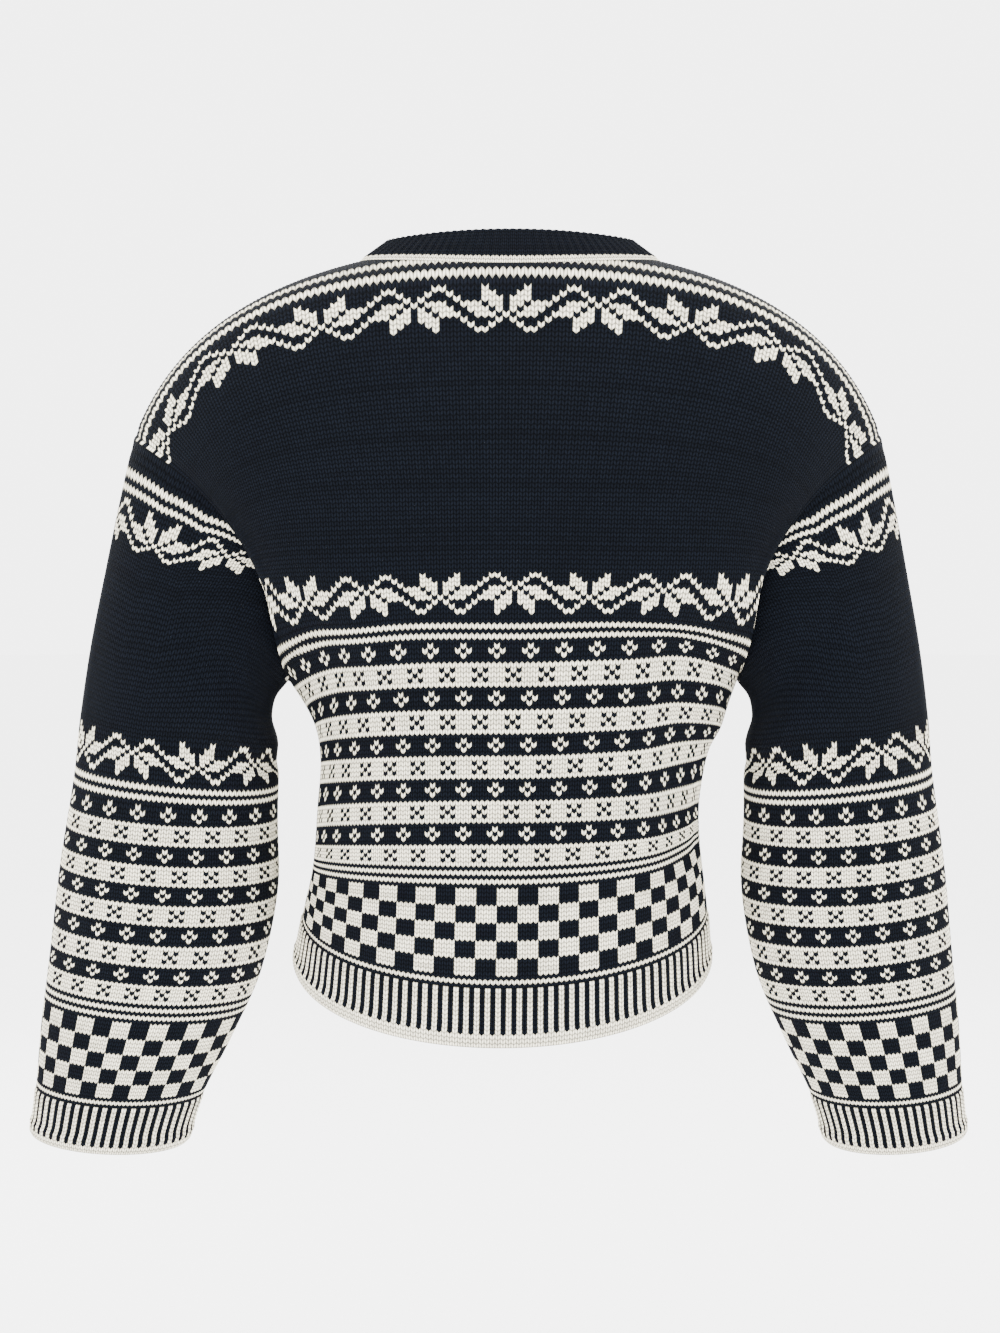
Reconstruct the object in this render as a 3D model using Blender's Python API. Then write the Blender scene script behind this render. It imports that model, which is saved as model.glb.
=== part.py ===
"""A cropped, boxy knitted cardigan with dropped shoulders, buttoned down the front.

It keeps the hollow shape it has when worn. Lengths are in metres. Up is +Z, the front faces -Y
and the left sleeve lies towards +X. The origin is the middle of the line between the two points
where the shoulder seams reach the neckband.

Every cloth piece is a wall. Its outer side is a grid of points worked out from sections, and
its inner side is the same form moved in by the cloth's thickness.
"""

import math
from collections import namedtuple

import bpy
import numpy as np

# How far the garment swings to its left for each metre down, as worn
LEAN = 0.013

# Cloth
WALL = 0.0025
SEAM_GAP = 0.0003
TOUCH = 0.00001
BODY_COLUMNS = 13
BODY_ROWS_BELOW_ARM = 11
BODY_ROWS_BESIDE_ARM = 12
SLEEVE_RINGS = 18
SHARP_ANGLE = 45.0

# How creases and folds fade out beside a seam, and the step that directions are measured over
SEAM_FADE_SHARE = 0.10
SEAM_FADE_RISE = 0.05
FOLD_FADE_RINGS = 1.2
DIRECTION_STEP = 0.004
SEARCH_STEPS = 40

# Neck opening, an oval seen from above, and the top edge of the neckband
NECK_HALF_WIDTH = 0.113
NECK_BACK = 0.058
NECK_FRONT = 0.092
NECK_CROWDING = 1.4
CORNER_REACH = 0.001
NECKBAND_TOP_HALF_WIDTH = 0.091
NECKBAND_TOP_BACK = 0.044
NECKBAND_TOP_FRONT = 0.071
NECKBAND_TOP_Z = {"back": 0.0215, "side": 0.0155, "front": -0.0460}
NECKBAND_RIB = 0.0033
NECKBAND_RELIEF = 0.0007

# Striped rib at hem and cuffs
HEM_RIB = 0.0078
CUFF_RIB = 0.0074
RIB_RELIEF = 0.0010
RIB_EDGE = 0.0100
RIB_EDGE_RELIEF = 0.0016
RIB_RAMP = 0.0030
RIB_FOOT_SHARE = 0.3

# Front bands and buttons
BAND_HALF_WIDTH = 0.0150
BAND_EDGE = BAND_HALF_WIDTH + SEAM_GAP
BAND_RIBS = 5
BAND_RELIEF = 0.0007
BUTTON_COUNT = 7
BUTTON_RADIUS = 0.0090
BUTTON_HEIGHT = 0.0034
BUTTON_TOP_MARGIN = 0.016
BUTTON_HEM_MARGIN = 0.030
BUTTON_SIDES = 14

# Profile of a button from the middle of its foot to the middle of its top, in shares of its size
ProfilePoint = namedtuple("ProfilePoint", "radius height")
BUTTON_PROFILE = (
    ProfilePoint(0.00, 0.00),
    ProfilePoint(0.70, 0.00),
    ProfilePoint(0.96, 0.28),
    ProfilePoint(1.00, 0.55),
    ProfilePoint(0.93, 0.92),
    ProfilePoint(0.80, 1.00),
    ProfilePoint(0.68, 0.80),
    ProfilePoint(0.00, 0.66),
)

# Levels of the body, from the hem to the shoulder ridge. On the lower levels the knit rows run
# from the centre to the side seam, on the upper ones to a place on the armhole.
LOWER_LEVELS = ("hem", "rib top", "check top", "waist low", "waist", "waist high", "bust", "underarm")
UPPER_LEVELS = ("blade low", "blade", "yoke low", "yoke", "yoke top", "ridge")
LEVELS = LOWER_LEVELS + UPPER_LEVELS

# One half of a level: the point on the centre line, how far the row runs straight across, and the
# point that it turns round, as a share of the edge's x, a depth and a share of the fall to the edge.
Half = namedtuple("Half", "centre_y centre_z reach turn turn_y fall")
BACK = {
    "hem": Half(0.112, -0.568, 0.088, 1.00, 0.063, 0.55),
    "rib top": Half(0.110, -0.525, 0.086, 1.00, 0.062, 0.55),
    "check top": Half(0.100, -0.452, 0.082, 1.00, 0.058, 0.55),
    "waist low": Half(0.094, -0.391, 0.080, 1.00, 0.056, 0.55),
    "waist": Half(0.094, -0.354, 0.080, 1.00, 0.057, 0.55),
    "waist high": Half(0.098, -0.311, 0.085, 1.03, 0.062, 0.50),
    "bust": Half(0.106, -0.2656, 0.095, 1.04, 0.066, 0.42),
    "underarm": Half(0.111, -0.235, 0.100, 1.03, 0.080, 0.32),
    "blade low": Half(0.113, -0.203, 0.100, 1.17, 0.100, 0.48),
    "blade": Half(0.114, -0.162, 0.100, 1.13, 0.102, 0.64),
    "yoke low": Half(0.104, -0.101, 0.100, 1.02, 0.096, 0.70),
    "yoke": Half(0.088, -0.0545, 0.100, 0.90, 0.084, 0.96),
    "yoke top": Half(0.064, -0.008, 0.098, 0.86, 0.048, 0.92),
    "ridge": Half(0.000, 0.012, 0.090, 0.843, 0.000, 0.832),
}
FRONT = {
    "hem": Half(-0.108, -0.514, 0.088, 1.00, -0.061, 0.55),
    "rib top": Half(-0.108, -0.474, 0.086, 1.00, -0.061, 0.55),
    "check top": Half(-0.106, -0.412, 0.084, 1.00, -0.061, 0.55),
    "waist low": Half(-0.110, -0.360, 0.084, 1.00, -0.063, 0.55),
    "waist": Half(-0.116, -0.328, 0.086, 1.00, -0.066, 0.55),
    "waist high": Half(-0.124, -0.296, 0.090, 1.02, -0.070, 0.50),
    "bust": Half(-0.131, -0.258, 0.098, 1.03, -0.074, 0.42),
    "underarm": Half(-0.133, -0.228, 0.100, 1.02, -0.084, 0.32),
    "blade low": Half(-0.131, -0.198, 0.100, 1.19, -0.096, 0.50),
    "blade": Half(-0.124, -0.160, 0.100, 1.07, -0.096, 0.64),
    "yoke low": Half(-0.110, -0.114, 0.100, 0.99, -0.090, 0.70),
    "yoke": Half(-0.094, -0.074, 0.100, 0.89, -0.078, 0.96),
    "yoke top": Half(-0.068, -0.028, 0.098, 0.86, -0.046, 0.92),
    "ridge": Half(0.000, 0.012, 0.090, 0.843, 0.000, 0.832),
}

# The side seam on the lower levels
Side = namedtuple("Side", "left_x right_x left_z right_z")
SIDES = {
    "hem": Side(0.1560, 0.1580, -0.5210, -0.5210),
    "rib top": Side(0.1500, 0.1550, -0.4890, -0.4850),
    "check top": Side(0.1420, 0.1480, -0.4500, -0.4250),
    "waist low": Side(0.1390, 0.1490, -0.4060, -0.3900),
    "waist": Side(0.1370, 0.1540, -0.3740, -0.3640),
    "waist high": Side(0.1400, 0.1620, -0.3500, -0.3480),
    "bust": Side(0.1500, 0.1680, -0.3290, -0.3280),
    "underarm": Side(0.1620, 0.1740, -0.3110, -0.3110),
}

# Where the upper levels end on the armhole, in degrees from the shoulder point
ARMHOLE_ANGLES = {
    "underarm": 180.0,
    "blade low": 146.0,
    "blade": 112.0,
    "yoke low": 76.0,
    "yoke": 48.0,
    "yoke top": 21.0,
    "ridge": 0.0,
}

# Creases of the body, seen from the back or the front, from one end to the other
Crease = namedtuple("Crease", "face x0 z0 x1 z1 depth width")
CREASES = (
    Crease("back", -0.126, -0.290, -0.134, -0.430, -0.0055, 0.022),
    Crease("back", -0.092, -0.300, -0.102, -0.420, 0.0025, 0.024),
    Crease("back", 0.150, -0.245, 0.128, -0.310, -0.0050, 0.020),
    Crease("back", 0.110, -0.235, 0.090, -0.290, 0.0025, 0.024),
    Crease("back", 0.060, -0.405, -0.070, -0.418, 0.0022, 0.020),
    Crease("front", 0.150, -0.200, 0.110, -0.290, -0.0060, 0.021),
    Crease("front", -0.150, -0.210, -0.116, -0.300, -0.0060, 0.020),
    Crease("front", 0.100, -0.350, 0.116, -0.440, -0.0045, 0.020),
    Crease("front", -0.090, -0.340, -0.112, -0.420, -0.0045, 0.020),
)

# Rings of a sleeve: its outer and inner line seen from behind, half its depth, how far the ring
# lies back, how much lower it hangs at the back, and how far it bows towards the body.
Ring = namedtuple("Ring", "outer_x outer_z inner_x inner_z depth centre_y sag bow")
RINGS = (
    Ring(0.2788, -0.1310, 0.1680, -0.3110, 0.0530, 0.000, 0.000, 0.030),
    Ring(0.2890, -0.1780, 0.1775, -0.3230, 0.0560, 0.000, 0.000, 0.026),
    Ring(0.2980, -0.2220, 0.1805, -0.3370, 0.0600, -0.001, 0.002, 0.018),
    Ring(0.3100, -0.2830, 0.1785, -0.3540, 0.0630, -0.003, 0.004, 0.010),
    Ring(0.3180, -0.3360, 0.1768, -0.3740, 0.0620, -0.005, 0.005, 0.005),
    Ring(0.3230, -0.3780, 0.1755, -0.3930, 0.0600, -0.008, 0.006, 0.002),
    Ring(0.3345, -0.4520, 0.1755, -0.4620, 0.0570, -0.013, 0.006, 0.000),
    Ring(0.3430, -0.5200, 0.1880, -0.5310, 0.0520, -0.018, 0.006, 0.000),
    Ring(0.3500, -0.5750, 0.2110, -0.5850, 0.0480, -0.022, 0.006, 0.000),
    Ring(0.3545, -0.6240, 0.2330, -0.6300, 0.0440, -0.026, 0.006, 0.000),
    Ring(0.3590, -0.6600, 0.2450, -0.6670, 0.0420, -0.029, 0.006, 0.000),
)
CUFF_RING = 9
INNER_SHIFT = {"left": -0.006, "right": 0.006}

# Folds across a sleeve: the ring they lie on, the angle from the outer line, and their size
Fold = namedtuple("Fold", "ring angle depth height spread")
FOLDS = (
    Fold(2.2, 110.0, -0.0045, 0.42, 40.0),
    Fold(3.1, 130.0, 0.0035, 0.45, 45.0),
    Fold(4.0, 120.0, -0.0040, 0.42, 48.0),
    Fold(5.6, 140.0, -0.0030, 0.40, 60.0),
    Fold(2.4, -115.0, -0.0045, 0.42, 42.0),
    Fold(3.3, -130.0, 0.0035, 0.45, 45.0),
    Fold(5.2, -90.0, -0.0045, 0.42, 60.0),
    Fold(6.0, -95.0, 0.0030, 0.42, 60.0),
)

# Colours and finish
DARK_YARN = ("dark yarn", (0.008, 0.010, 0.014, 1.0), 0.92)
CREAM_YARN = ("cream yarn", (0.74, 0.71, 0.62, 1.0), 0.90)
HORN = ("button", (0.030, 0.026, 0.024, 1.0), 0.35)


def smooth(value):
    """A soft step from 0 to 1 as the value goes from 0 to 1."""
    value = np.clip(value, 0.0, 1.0)
    return value * value * (3.0 - 2.0 * value)


def slopes(places, values, before=None, after=None):
    """The rate of change at each place of a curve through the values, with ends given or free."""
    steps = np.diff(places)
    rates = np.diff(values, axis=0) / steps[:, None]
    middle = rates[:-1] * steps[1:, None] + rates[1:] * steps[:-1, None]
    middle = middle / (steps[:-1] + steps[1:])[:, None]
    first = rates[0] if before is None else before
    last = rates[-1] if after is None else after
    return np.vstack([first[None], middle, last[None]])


def along(places, values, rates, where):
    """The value at one place of the smooth curve."""
    index = int(np.clip(np.searchsorted(places, where) - 1, 0, len(places) - 2))
    step = places[index + 1] - places[index]
    t = (where - places[index]) / step
    start, end = values[index], values[index + 1]
    leave, arrive = rates[index] * step, rates[index + 1] * step
    return (
        start * (2 * t**3 - 3 * t**2 + 1)
        + leave * (t**3 - 2 * t**2 + t)
        + end * (3 * t**2 - 2 * t**3)
        + arrive * (t**3 - t**2)
    )


def shifted(ring, side):
    """A ring with its inner line moved to where it is on one side."""
    return ring._replace(inner_x=ring.inner_x + INNER_SHIFT[side])


def ring_point(ring, angle):
    """A point of a sleeve ring. The angle is 0 at the outer line, 90 at the back and 180 inside."""
    outer = np.array([ring.outer_x, 0.0, ring.outer_z])
    inner = np.array([ring.inner_x, 0.0, ring.inner_z])
    reach = (outer - inner) / 2
    inwards = np.array([-reach[2], 0.0, reach[0]]) / np.linalg.norm(reach)
    turn = math.radians(angle)
    point = (outer + inner) / 2 + reach * math.cos(turn)
    point = point + inwards * ring.bow * math.sin(turn) ** 2
    return point + np.array([0.0, ring.centre_y + ring.depth * math.sin(turn), -ring.sag * math.sin(turn)])


def armhole_point(angle, side):
    """A point of the armhole, which is the first ring of the sleeve."""
    return ring_point(shifted(RINGS[0], side), angle)


class Body:
    """The outer surface of one half of the back or front, on the left or right."""

    def __init__(self, face, side):
        self.face = face
        self.side = side
        table, other = (BACK, FRONT) if face == "back" else (FRONT, BACK)
        self.controls = np.array([self.level_controls(table, level) for level in LEVELS])
        ghost = self.level_controls(other, LEVELS[-2])
        self.rise = body_rise()
        self.top = self.rise[-1]
        self.underarm = self.rise[LEVELS.index("underarm")]
        last_step = self.rise[-1] - self.rise[-2]
        after = (ghost - self.controls[-2]).reshape(-1) / (2 * last_step)
        flat = self.controls.reshape(len(LEVELS), -1)
        self.rates = slopes(self.rise, flat, after=after)
        self.flat = flat
        lower = len(LOWER_LEVELS)
        self.seam_rates = slopes(self.rise[:lower], self.controls[:lower, 3])
        self.angles = np.array([ARMHOLE_ANGLES[level] for level in LEVELS[lower - 1 :]])[:, None]
        self.angle_rates = slopes(self.rise[lower - 1 :], self.angles)

    def level_controls(self, table, level):
        """The four points that a level's curve is drawn from, out from the centre line."""
        half = table[level]
        if level in SIDES:
            seam = SIDES[level]
            edge_x = seam.left_x if self.side == "left" else seam.right_x
            edge_z = seam.left_z if self.side == "left" else seam.right_z
            edge = np.array([edge_x, 0.0, edge_z])
        else:
            edge = armhole_point(math.copysign(ARMHOLE_ANGLES[level], half.turn_y), self.side)
        centre = np.array([0.0, half.centre_y, half.centre_z])
        across = np.array([half.reach, half.centre_y, half.centre_z])
        turn_z = edge[2] + half.fall * (half.centre_z - edge[2])
        turn = np.array([edge[0] * half.turn, half.turn_y, turn_z])
        return np.array([centre, across, turn, edge])

    def armhole_angle(self, rise):
        """The armhole angle where the row at this rise ends."""
        lower = len(LOWER_LEVELS)
        angle = float(along(self.rise[lower - 1 :], self.angles, self.angle_rates, rise)[0])
        return angle if self.face == "back" else -angle

    def edge(self, rise):
        """The point where a row reaches the side seam or the armhole."""
        if rise >= self.underarm:
            return armhole_point(self.armhole_angle(rise), self.side)
        lower = len(LOWER_LEVELS)
        return along(self.rise[:lower], self.controls[:lower, 3], self.seam_rates, rise)

    def plain_point(self, share, rise):
        """A point of the uncreased surface, on the left whichever side this half is on."""
        start, across, turn = along(self.rise, self.flat, self.rates, rise).reshape(4, 3)[:3]
        end = self.edge(rise)
        rest = 1.0 - share
        return (
            start * rest**3
            + across * 3 * rest**2 * share
            + turn * 3 * rest * share**2
            + end * share**3
        )

    def normal(self, share, rise):
        """The outward direction of the uncreased surface."""
        step = DIRECTION_STEP
        low, high = max(share - step, 0.0), min(share + step, 1.0)
        down, up = max(rise - step / 2, 0.0), min(rise + step / 2, self.top)
        across = self.plain_point(high, rise) - self.plain_point(low, rise)
        upward = self.plain_point(share, up) - self.plain_point(share, down)
        normal = np.cross(across, upward)
        if self.face == "back":
            normal = -normal
        return normal / np.linalg.norm(normal)

    def crease_depth(self, share, rise, point):
        """How far the creases move the surface out, fading out at the seams."""
        x = point[0] if self.side == "left" else -point[0]
        total = 0.0
        for crease in CREASES:
            if crease.face != self.face:
                continue
            start = np.array([crease.x0, crease.z0])
            run = np.array([crease.x1, crease.z1]) - start
            length = np.linalg.norm(run)
            away = np.array([x, point[2]]) - start
            place = np.dot(away, run) / length**2
            off = (away[0] * run[1] - away[1] * run[0]) / length
            beyond = max(-place, place - 1.0, 0.0) * length
            total += crease.depth * math.exp(-((off**2 + beyond**2) / crease.width**2))
        beside_seam = smooth((1.0 - share) / SEAM_FADE_SHARE)
        above_hem = smooth(rise / SEAM_FADE_RISE)
        below_shoulder = smooth((self.top - rise) / SEAM_FADE_RISE)
        return total * beside_seam * above_hem * below_shoulder

    def point(self, share, rise):
        """A point of the surface with its creases."""
        plain = self.plain_point(share, rise)
        moved = plain + self.normal(share, rise) * self.crease_depth(share, rise, plain)
        return moved if self.side == "left" else moved * np.array([-1.0, 1.0, 1.0])

    def share_at_x(self, rise, x):
        """How far along a row it lies at a given distance from the centre line."""
        low, high = 0.0, 0.5
        for _ in range(SEARCH_STEPS):
            middle = (low + high) / 2
            if self.plain_point(middle, rise)[0] < x:
                low = middle
            else:
                high = middle
        return (low + high) / 2

    def neck_rise(self, share):
        """How high a column goes before it reaches the neck opening."""
        depth = NECK_BACK if self.face == "back" else NECK_FRONT
        if self.plain_point(share, self.top)[0] > NECK_HALF_WIDTH - TOUCH:
            return self.top
        low, high = self.underarm, self.top
        for _ in range(SEARCH_STEPS):
            middle = (low + high) / 2
            x, y, _ = self.plain_point(share, middle)
            if (x / NECK_HALF_WIDTH) ** 2 + (y / depth) ** 2 > 1.0:
                low = middle
            else:
                high = middle
        return (low + high) / 2


def body_rise():
    """The height of each level along the cloth, the mean of the centre back and the left edge."""
    centres = np.array([[0.0, BACK[level].centre_y, BACK[level].centre_z] for level in LEVELS])
    edges = []
    for level in LEVELS:
        if level in SIDES:
            edges.append([SIDES[level].left_x, 0.0, SIDES[level].left_z])
        else:
            edges.append(armhole_point(ARMHOLE_ANGLES[level], "left"))
    steps = np.linalg.norm(np.diff(centres, axis=0), axis=1)
    steps = steps + np.linalg.norm(np.diff(np.array(edges), axis=0), axis=1)
    return np.concatenate([[0.0], np.cumsum(steps / 2)])


def row_rises(start, end, count):
    """Evenly spaced rises of the rows between two heights."""
    return [start + (end - start) * index / count for index in range(count + 1)]


RISE = dict(zip(LEVELS, body_rise(), strict=True))
PANEL_ROWS = (
    row_rises(RISE["rib top"], RISE["underarm"], BODY_ROWS_BELOW_ARM)[:-1]
    + row_rises(RISE["underarm"], RISE["ridge"], BODY_ROWS_BESIDE_ARM)
)
YOKE_RISE = RISE["yoke low"]


def neck_share(body):
    """The share along the ridge where the neck opening ends."""
    low, high = 0.0, 1.0
    for _ in range(SEARCH_STEPS):
        middle = (low + high) / 2
        if body.plain_point(middle, body.top)[0] < NECK_HALF_WIDTH:
            low = middle
        else:
            high = middle
    return (low + high) / 2


def column_shares(body, first):
    """Shares of the columns, with one just where the neck opening meets the shoulder seam."""
    neck = neck_share(body)
    inner = round(BODY_COLUMNS * neck) + 1
    to_neck = [neck - (neck - first) * (1.0 - index / inner) ** NECK_CROWDING for index in range(inner)]
    outer = BODY_COLUMNS - inner
    return to_neck + [neck + (1.0 - neck) * index / outer for index in range(outer + 1)]


def crowded(rises, limit):
    """The rises of the rows, with those above the yoke crowded under a limit."""
    reach = (limit - YOKE_RISE) / (RISE["ridge"] - YOKE_RISE)
    return [rise if rise <= YOKE_RISE else YOKE_RISE + (rise - YOKE_RISE) * reach for rise in rises]


def half_panel(body, first):
    """Rows of points of one half, out from the centre line, or from a share just beside it."""
    columns = []
    for share in column_shares(body, first):
        columns.append([body.point(share, rise) for rise in crowded(PANEL_ROWS, body.neck_rise(share))])
    return np.array(columns).transpose(1, 0, 2)


class Piece:
    """A cloth piece: a grid of outer points with their outward directions."""

    def __init__(self, name, points, finish, closed=False, flip=False):
        self.name = name
        self.points = np.array(points, dtype=float)
        self.closed = closed
        self.finish = finish
        self.flip = flip
        self.normals = self.grid_normals()
        self.relief = np.zeros(self.points.shape[:2])
        self.inner_rows = None
        self.inner_columns = None

    def grid_normals(self):
        """Outward directions from the neighbours of each point."""
        points = self.points
        if self.closed:
            across = np.roll(points, -1, axis=1) - np.roll(points, 1, axis=1)
        else:
            across = np.gradient(points, axis=1)
        upward = np.gradient(points, axis=0)
        normals = np.cross(across, upward)
        normals /= np.linalg.norm(normals, axis=2, keepdims=True)
        return -normals if self.flip else normals

    def edge(self, name):
        """Grid places of an edge, each with the place next to it inside the piece."""
        rows, columns = self.points.shape[:2]
        if name == "bottom":
            return [((0, c), (1, c)) for c in range(columns)]
        if name == "top":
            return [((rows - 1, c), (rows - 2, c)) for c in range(columns)]
        if name == "first":
            return [((r, 0), (r, 1)) for r in range(rows)]
        if name == "last":
            return [((r, columns - 1), (r, columns - 2)) for r in range(rows)]
        shoulder = [c for c in range(columns) if abs(self.points[-1, c, 0]) > NECK_HALF_WIDTH - CORNER_REACH]
        wanted = [c for c in shoulder if (self.points[-1, c, 0] > 0) == (name == "left shoulder")]
        return [((rows - 1, c), (rows - 2, c)) for c in wanted]


def place_key(point):
    """A name for a place that pieces share at a seam."""
    return tuple(np.round(point, 4) + 0.0)


def shared_direction(found):
    """The mean of the directions at one place, where body and sleeve count the same."""
    total = np.zeros(3)
    for on_sleeve in (False, True):
        group = [turn for (name, _), turn in found.items() if name.startswith("sleeve") == on_sleeve]
        if group:
            total += sum(group) / np.linalg.norm(sum(group))
    return total / np.linalg.norm(total)


def sew(seams):
    """Gives the pieces that meet at each seam one direction, then parts them by the seam gap."""
    shared = {}
    for piece, name in seams:
        for at, _ in piece.edge(name):
            shared.setdefault(place_key(piece.points[at]), {})[(piece.name, at)] = piece.normals[at]
    means = {}
    moves = []
    for piece, name in seams:
        line = piece.edge(name)
        ring = piece.closed
        for index, (at, inside) in enumerate(line):
            mean = shared_direction(shared[place_key(piece.points[at])])
            means[(piece, at)] = mean
            before = line[index - 1][0] if ring or index else at
            after = line[(index + 1) % len(line)][0] if ring or index < len(line) - 1 else at
            away = np.cross(piece.points[after] - piece.points[before], mean)
            away /= np.linalg.norm(away)
            if np.dot(away, piece.points[inside] - piece.points[at]) < 0:
                away = -away
            moves.append((piece, at, away * SEAM_GAP / 2))
    for (piece, at), mean in means.items():
        piece.normals[at] = mean
    for piece, at, move in moves:
        piece.points[at] += move


def fan(faces, outer, inner, stops):
    """Faces of a rim between an edge of the outer side and the coarser edge of the inner side."""
    for index in range(len(inner) - 1):
        start, end = stops[index], stops[index + 1]
        middle = (start + end) // 2
        for step in range(start, end):
            apex = inner[index] if step < middle else inner[index + 1]
            faces.append((outer[step], outer[step + 1], apex))
        faces.append((inner[index], outer[middle], inner[index + 1]))


def add_grid(faces, ids, closed):
    """Quads of a grid of vertex numbers."""
    rows, columns = ids.shape
    for row in range(rows - 1):
        for column in range(columns if closed else columns - 1):
            after = (column + 1) % columns
            faces.append((ids[row, column], ids[row, after], ids[row + 1, after], ids[row + 1, column]))


def make_object(name, points, faces, finish):
    """A mesh object with its own material and outward faces."""
    points = np.array(points, dtype=float)
    points[:, 0] -= LEAN * points[:, 2]
    mesh = bpy.data.meshes.new(name)
    mesh.from_pydata([tuple(point) for point in points], [], [tuple(map(int, face)) for face in faces])
    colour_name, colour, roughness = finish
    material = bpy.data.materials.new(f"{name} {colour_name}")
    material.use_nodes = True
    shader = material.node_tree.nodes["Principled BSDF"]
    shader.inputs["Base Color"].default_value = colour
    shader.inputs["Roughness"].default_value = roughness
    shader.inputs["Metallic"].default_value = 0.0
    material.diffuse_color = colour
    mesh.materials.append(material)
    mesh.validate()
    mesh.shade_smooth()
    mesh.set_sharp_from_angle(angle=math.radians(SHARP_ANGLE))
    made = bpy.data.objects.new(name, mesh)
    bpy.context.scene.collection.objects.link(made)
    return made


def build_wall(piece):
    """The closed wall of a piece: outer grid, inner grid and the rims between them."""
    rows, columns = piece.points.shape[:2]
    inner_rows = piece.inner_rows or list(range(rows))
    inner_columns = piece.inner_columns or list(range(columns))
    outer_points = piece.points + piece.normals * piece.relief[..., None]
    inner_points = (piece.points - piece.normals * WALL)[np.ix_(inner_rows, inner_columns)]
    outer = np.arange(rows * columns).reshape(rows, columns)
    count = len(inner_rows) * len(inner_columns)
    inner = np.arange(count).reshape(len(inner_rows), -1) + outer.size
    faces = []
    add_grid(faces, outer, piece.closed)
    add_grid(faces, inner[:, ::-1], piece.closed)
    ring_columns = inner_columns + [columns] if piece.closed else inner_columns
    for row, inner_row in ((0, 0), (rows - 1, len(inner_rows) - 1)):
        rim = list(outer[row])
        inside = list(inner[inner_row])
        if piece.closed:
            rim.append(rim[0])
            inside.append(inside[0])
        rim_faces = []
        fan(rim_faces, rim, inside, ring_columns)
        faces += rim_faces if row else [face[::-1] for face in rim_faces]
    if not piece.closed:
        for column, inner_column in ((0, 0), (columns - 1, len(inner_columns) - 1)):
            rim_faces = []
            fan(rim_faces, list(outer[:, column]), list(inner[:, inner_column]), inner_rows)
            faces += rim_faces if not column else [face[::-1] for face in rim_faces]
    if piece.flip:
        faces = [face[::-1] for face in faces]
    points = np.vstack([outer_points.reshape(-1, 3), inner_points.reshape(-1, 3)])
    return make_object(piece.name, points, faces, piece.finish)


def back_panel():
    """The back, from the right seam to the left one."""
    left = half_panel(Body("back", "left"), 0.0)
    right = half_panel(Body("back", "right"), 0.0)
    return Piece("back", np.concatenate([right[:, :0:-1], left], axis=1), DARK_YARN, flip=True)


def band_share(body):
    """The share of a row beside the button band."""
    return body.share_at_x(YOKE_RISE, BAND_EDGE)


def front_panel(side):
    """A front, from the edge beside the button band to the side seam."""
    body = Body("front", side)
    grid = half_panel(body, band_share(body))
    grid[:, 0, 0] = math.copysign(BAND_EDGE, grid[0, 1, 0])
    return Piece(f"front_{side}", grid, DARK_YARN, flip=side == "right")


def sleeve_angles(body_back, body_front):
    """Angles of the columns round a sleeve, the same as where the body's rows meet the armhole."""
    beside = row_rises(RISE["underarm"], RISE["ridge"], BODY_ROWS_BESIDE_ARM)
    back = [body_back.armhole_angle(rise) for rise in beside[::-1]]
    front = [body_front.armhole_angle(rise) for rise in beside[1:-1]]
    return back + [360.0 + angle for angle in front]


class Sleeve:
    """The outer surface of a sleeve, with its folds."""

    def __init__(self, side):
        self.side = side
        self.values = np.array([list(shifted(ring, side)) for ring in RINGS])
        self.places = np.arange(len(RINGS), dtype=float)
        self.rates = slopes(self.places, self.values)

    def ring(self, place):
        """The ring at a place between the table's rings."""
        return Ring(*along(self.places, self.values, self.rates, place))

    def fold_depth(self, angle, place):
        """How far the folds move the surface out."""
        total = 0.0
        for fold in FOLDS:
            off = (angle - fold.angle + 180.0) % 360.0 - 180.0
            away = (place - fold.ring) / fold.height
            total += fold.depth * math.exp(-((off / fold.spread) ** 2) - away**2)
        return total * smooth(place / FOLD_FADE_RINGS) * smooth((CUFF_RING - place) / FOLD_FADE_RINGS)

    def point(self, angle, place):
        """A point of the sleeve."""
        ring = self.ring(place)
        middle_x, middle_z = (ring.outer_x + ring.inner_x) / 2, (ring.outer_z + ring.inner_z) / 2
        middle = np.array([middle_x, ring.centre_y, middle_z])
        point = ring_point(ring, angle)
        out = (point - middle) / np.linalg.norm(point - middle)
        point = point + out * self.fold_depth(angle, place)
        return point if self.side == "left" else point * np.array([-1.0, 1.0, 1.0])


def sleeve_piece(side):
    """A sleeve from the armhole to the cuff."""
    sleeve = Sleeve(side)
    angles = sleeve_angles(Body("back", side), Body("front", side))
    places = row_rises(0.0, float(CUFF_RING), SLEEVE_RINGS)
    grid = [[sleeve.point(angle, place) for angle in angles] for place in places[::-1]]
    return Piece(f"sleeve_{side}", grid, DARK_YARN, closed=True, flip=side == "right")


def between(row, place):
    """A point on the straight lines between the points of a row."""
    index = min(int(place), len(row) - 2)
    return row[index] + (row[index + 1] - row[index]) * (place - index)


def rib_rows(height):
    """Heights of a rib's rows above its lower edge, with how far each is raised on and off a rib."""
    foot = RIB_FOOT_SHARE * RIB_EDGE_RELIEF
    return (
        (0.0, foot, foot),
        (RIB_EDGE / 2, RIB_EDGE_RELIEF, RIB_EDGE_RELIEF),
        (RIB_EDGE + RIB_RAMP, RIB_RELIEF, 0.0),
        (height - RIB_RAMP, RIB_RELIEF, 0.0),
        (height, 0.0, 0.0),
    )


def every_fourth(columns, closed):
    """Every fourth column, and the last one of an open piece."""
    chosen = list(range(0, columns, 4))
    if not closed and chosen[-1] != columns - 1:
        chosen.append(columns - 1)
    return chosen


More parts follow.
